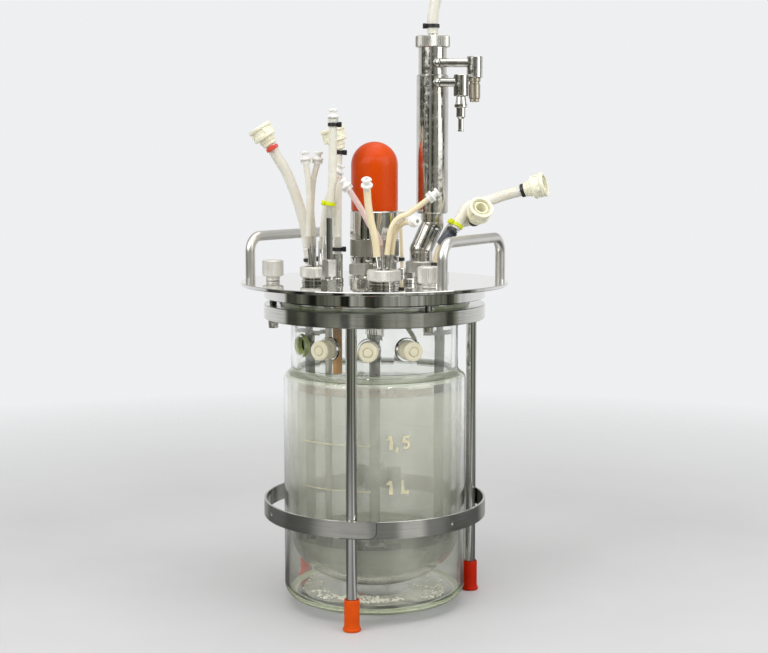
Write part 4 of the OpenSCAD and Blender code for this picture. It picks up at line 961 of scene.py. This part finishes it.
# ---- stage: a plain pale floor that fades into the backdrop, and that steel mirrors as BENCH says ----
FLOOR_R, FADE_START, FADE_END = 1.3, 0.45, 1.15  # metres from the axis
floor_data = bpy.data.meshes.new("floor")
floor_mesh = bmesh.new()
bmesh.ops.create_circle(floor_mesh, cap_ends=True, radius=FLOOR_R, segments=96)
floor_mesh.to_mesh(floor_data)
floor_mesh.free()
floor = bpy.data.objects.new("floor", floor_data)
scene.collection.objects.link(floor)
floor_material = material("floor", (0.60, 0.60, 0.61), (0.57, 0.57, 0.58), 6.0, (0.5, 0.6))
tree = floor_material.node_tree
plain = tree.nodes[floor_material["shader"]]
tone = plain.inputs["Base Color"].links[0].from_socket
mirrored = add(tree, "LightPath").outputs["Is Glossy Ray"]
x, y, _ = object_xyz(tree)
tree.links.new(mix_colour(tree, mirrored, tone, by_direction(tree, x, y, BENCH)[0]), plain.inputs["Base Color"])
away = add(tree, "VectorMath", {0: object_place(tree)}, operation="LENGTH").outputs["Value"]
fade = spread(tree, away, 0.0, 1.0, FADE_START, FADE_END)
mix_shaders(floor_material, fade, plain, add(tree, "BsdfTransparent"))
floor_data.materials.append(floor_material)


# ---- light: soft boxes, and a world that is bright behind the object and darker in front of it ----
def soft_box(name, location, target, size, power):
    data = bpy.data.lights.new(name, "AREA")
    data.shape = "RECTANGLE"
    data.size, data.size_y = size
    data.energy = power
    lamp = bpy.data.objects.new(name, data)
    lamp.location = location
    lamp.rotation_euler = (Vector(target) - Vector(location)).to_track_quat("-Z", "Y").to_euler()
    scene.collection.objects.link(lamp)


CENTRE = (0.0, 0.0, 0.28)
WINDOWS = ((-1.2, 0.22), (-0.28, 0.18), (0.58, 0.26), (1.15, 0.16))  # X and width
soft_box("key", (-1.25, -1.15, 1.25), CENTRE, (1.3, 1.3), 17.0)
soft_box("fill", (1.45, -0.85, 0.95), CENTRE, (1.1, 1.2), 11.0)
soft_box("top", (0.1, -0.1, 1.7), CENTRE, (1.9, 1.5), 13.5)
for x, width in WINDOWS:
    soft_box("window", (x, -1.5, 1.3), CENTRE, (width, 0.06), 8.0 * width)

BACKDROP = (0.86, 0.865, 0.875)
CEILING, CEILING_FROM, CEILING_FULL = 0.52, 0.09, 0.28  # level, and the heights where it starts and is full
BARS = 9.0  # how fast the room's brightness wavers round the object; it is even behind
SHADOW_CAST = (0.98, 1.0, 0.76)  # the tint of the room's dark parts
world = bpy.data.worlds.new("studio")
scene.world = world
world.use_nodes = True
tree = world.node_tree
tree.nodes.clear()
direction = add(tree, "TexCoord").outputs["Generated"]
parts = add(tree, "SeparateXYZ", {0: direction})
room, azimuth = by_direction(tree, parts.outputs[0], parts.outputs[1], ROOM)
bars = add(tree, "TexNoise", {"W": math_node(tree, "MULTIPLY", azimuth, BARS), "Scale": 1.0, "Detail": 3.0},
           noise_dimensions="1D").outputs["Fac"]
uneven = math_node(tree, "MULTIPLY", math_node(tree, "SUBTRACT", bars, 0.5), spread(
    tree, math_node(tree, "ABSOLUTE", azimuth), 2.4, 0.0, 1.4, 1.9))
level = math_node(tree, "MULTIPLY", room, math_node(tree, "ADD", uneven, 1.0))
ceiling = spread(tree, parts.outputs[2], 0.0, 1.0, CEILING_FROM, CEILING_FULL)
level = add(tree, "Mix", {0: ceiling, 2: level, 3: CEILING}).outputs[0]
path = add(tree, "LightPath")
seen = math_node(tree, "MAXIMUM", path.outputs["Is Camera Ray"], path.outputs["Is Transmission Ray"])
grey = add(tree, "CombineColor", {0: level, 1: level, 2: level}).outputs[0]
cast = mix_colour(tree, spread(tree, level, 0.0, 1.0, 0.1, 0.6), SHADOW_CAST, (1.0, 1.0, 1.0))
tinted = add(tree, "Mix", data_type="RGBA", blend_type="MULTIPLY")
tinted.inputs[0].default_value = 1.0
tree.links.new(grey, tinted.inputs[6])
tree.links.new(cast, tinted.inputs[7])
final = mix_colour(tree, seen, tinted.outputs[2], BACKDROP)
background = add(tree, "Background", {"Color": final, "Strength": 1.0})
add(tree, "OutputWorld", {"Surface": background.outputs[0]})

scene.view_settings.view_transform = "Standard"
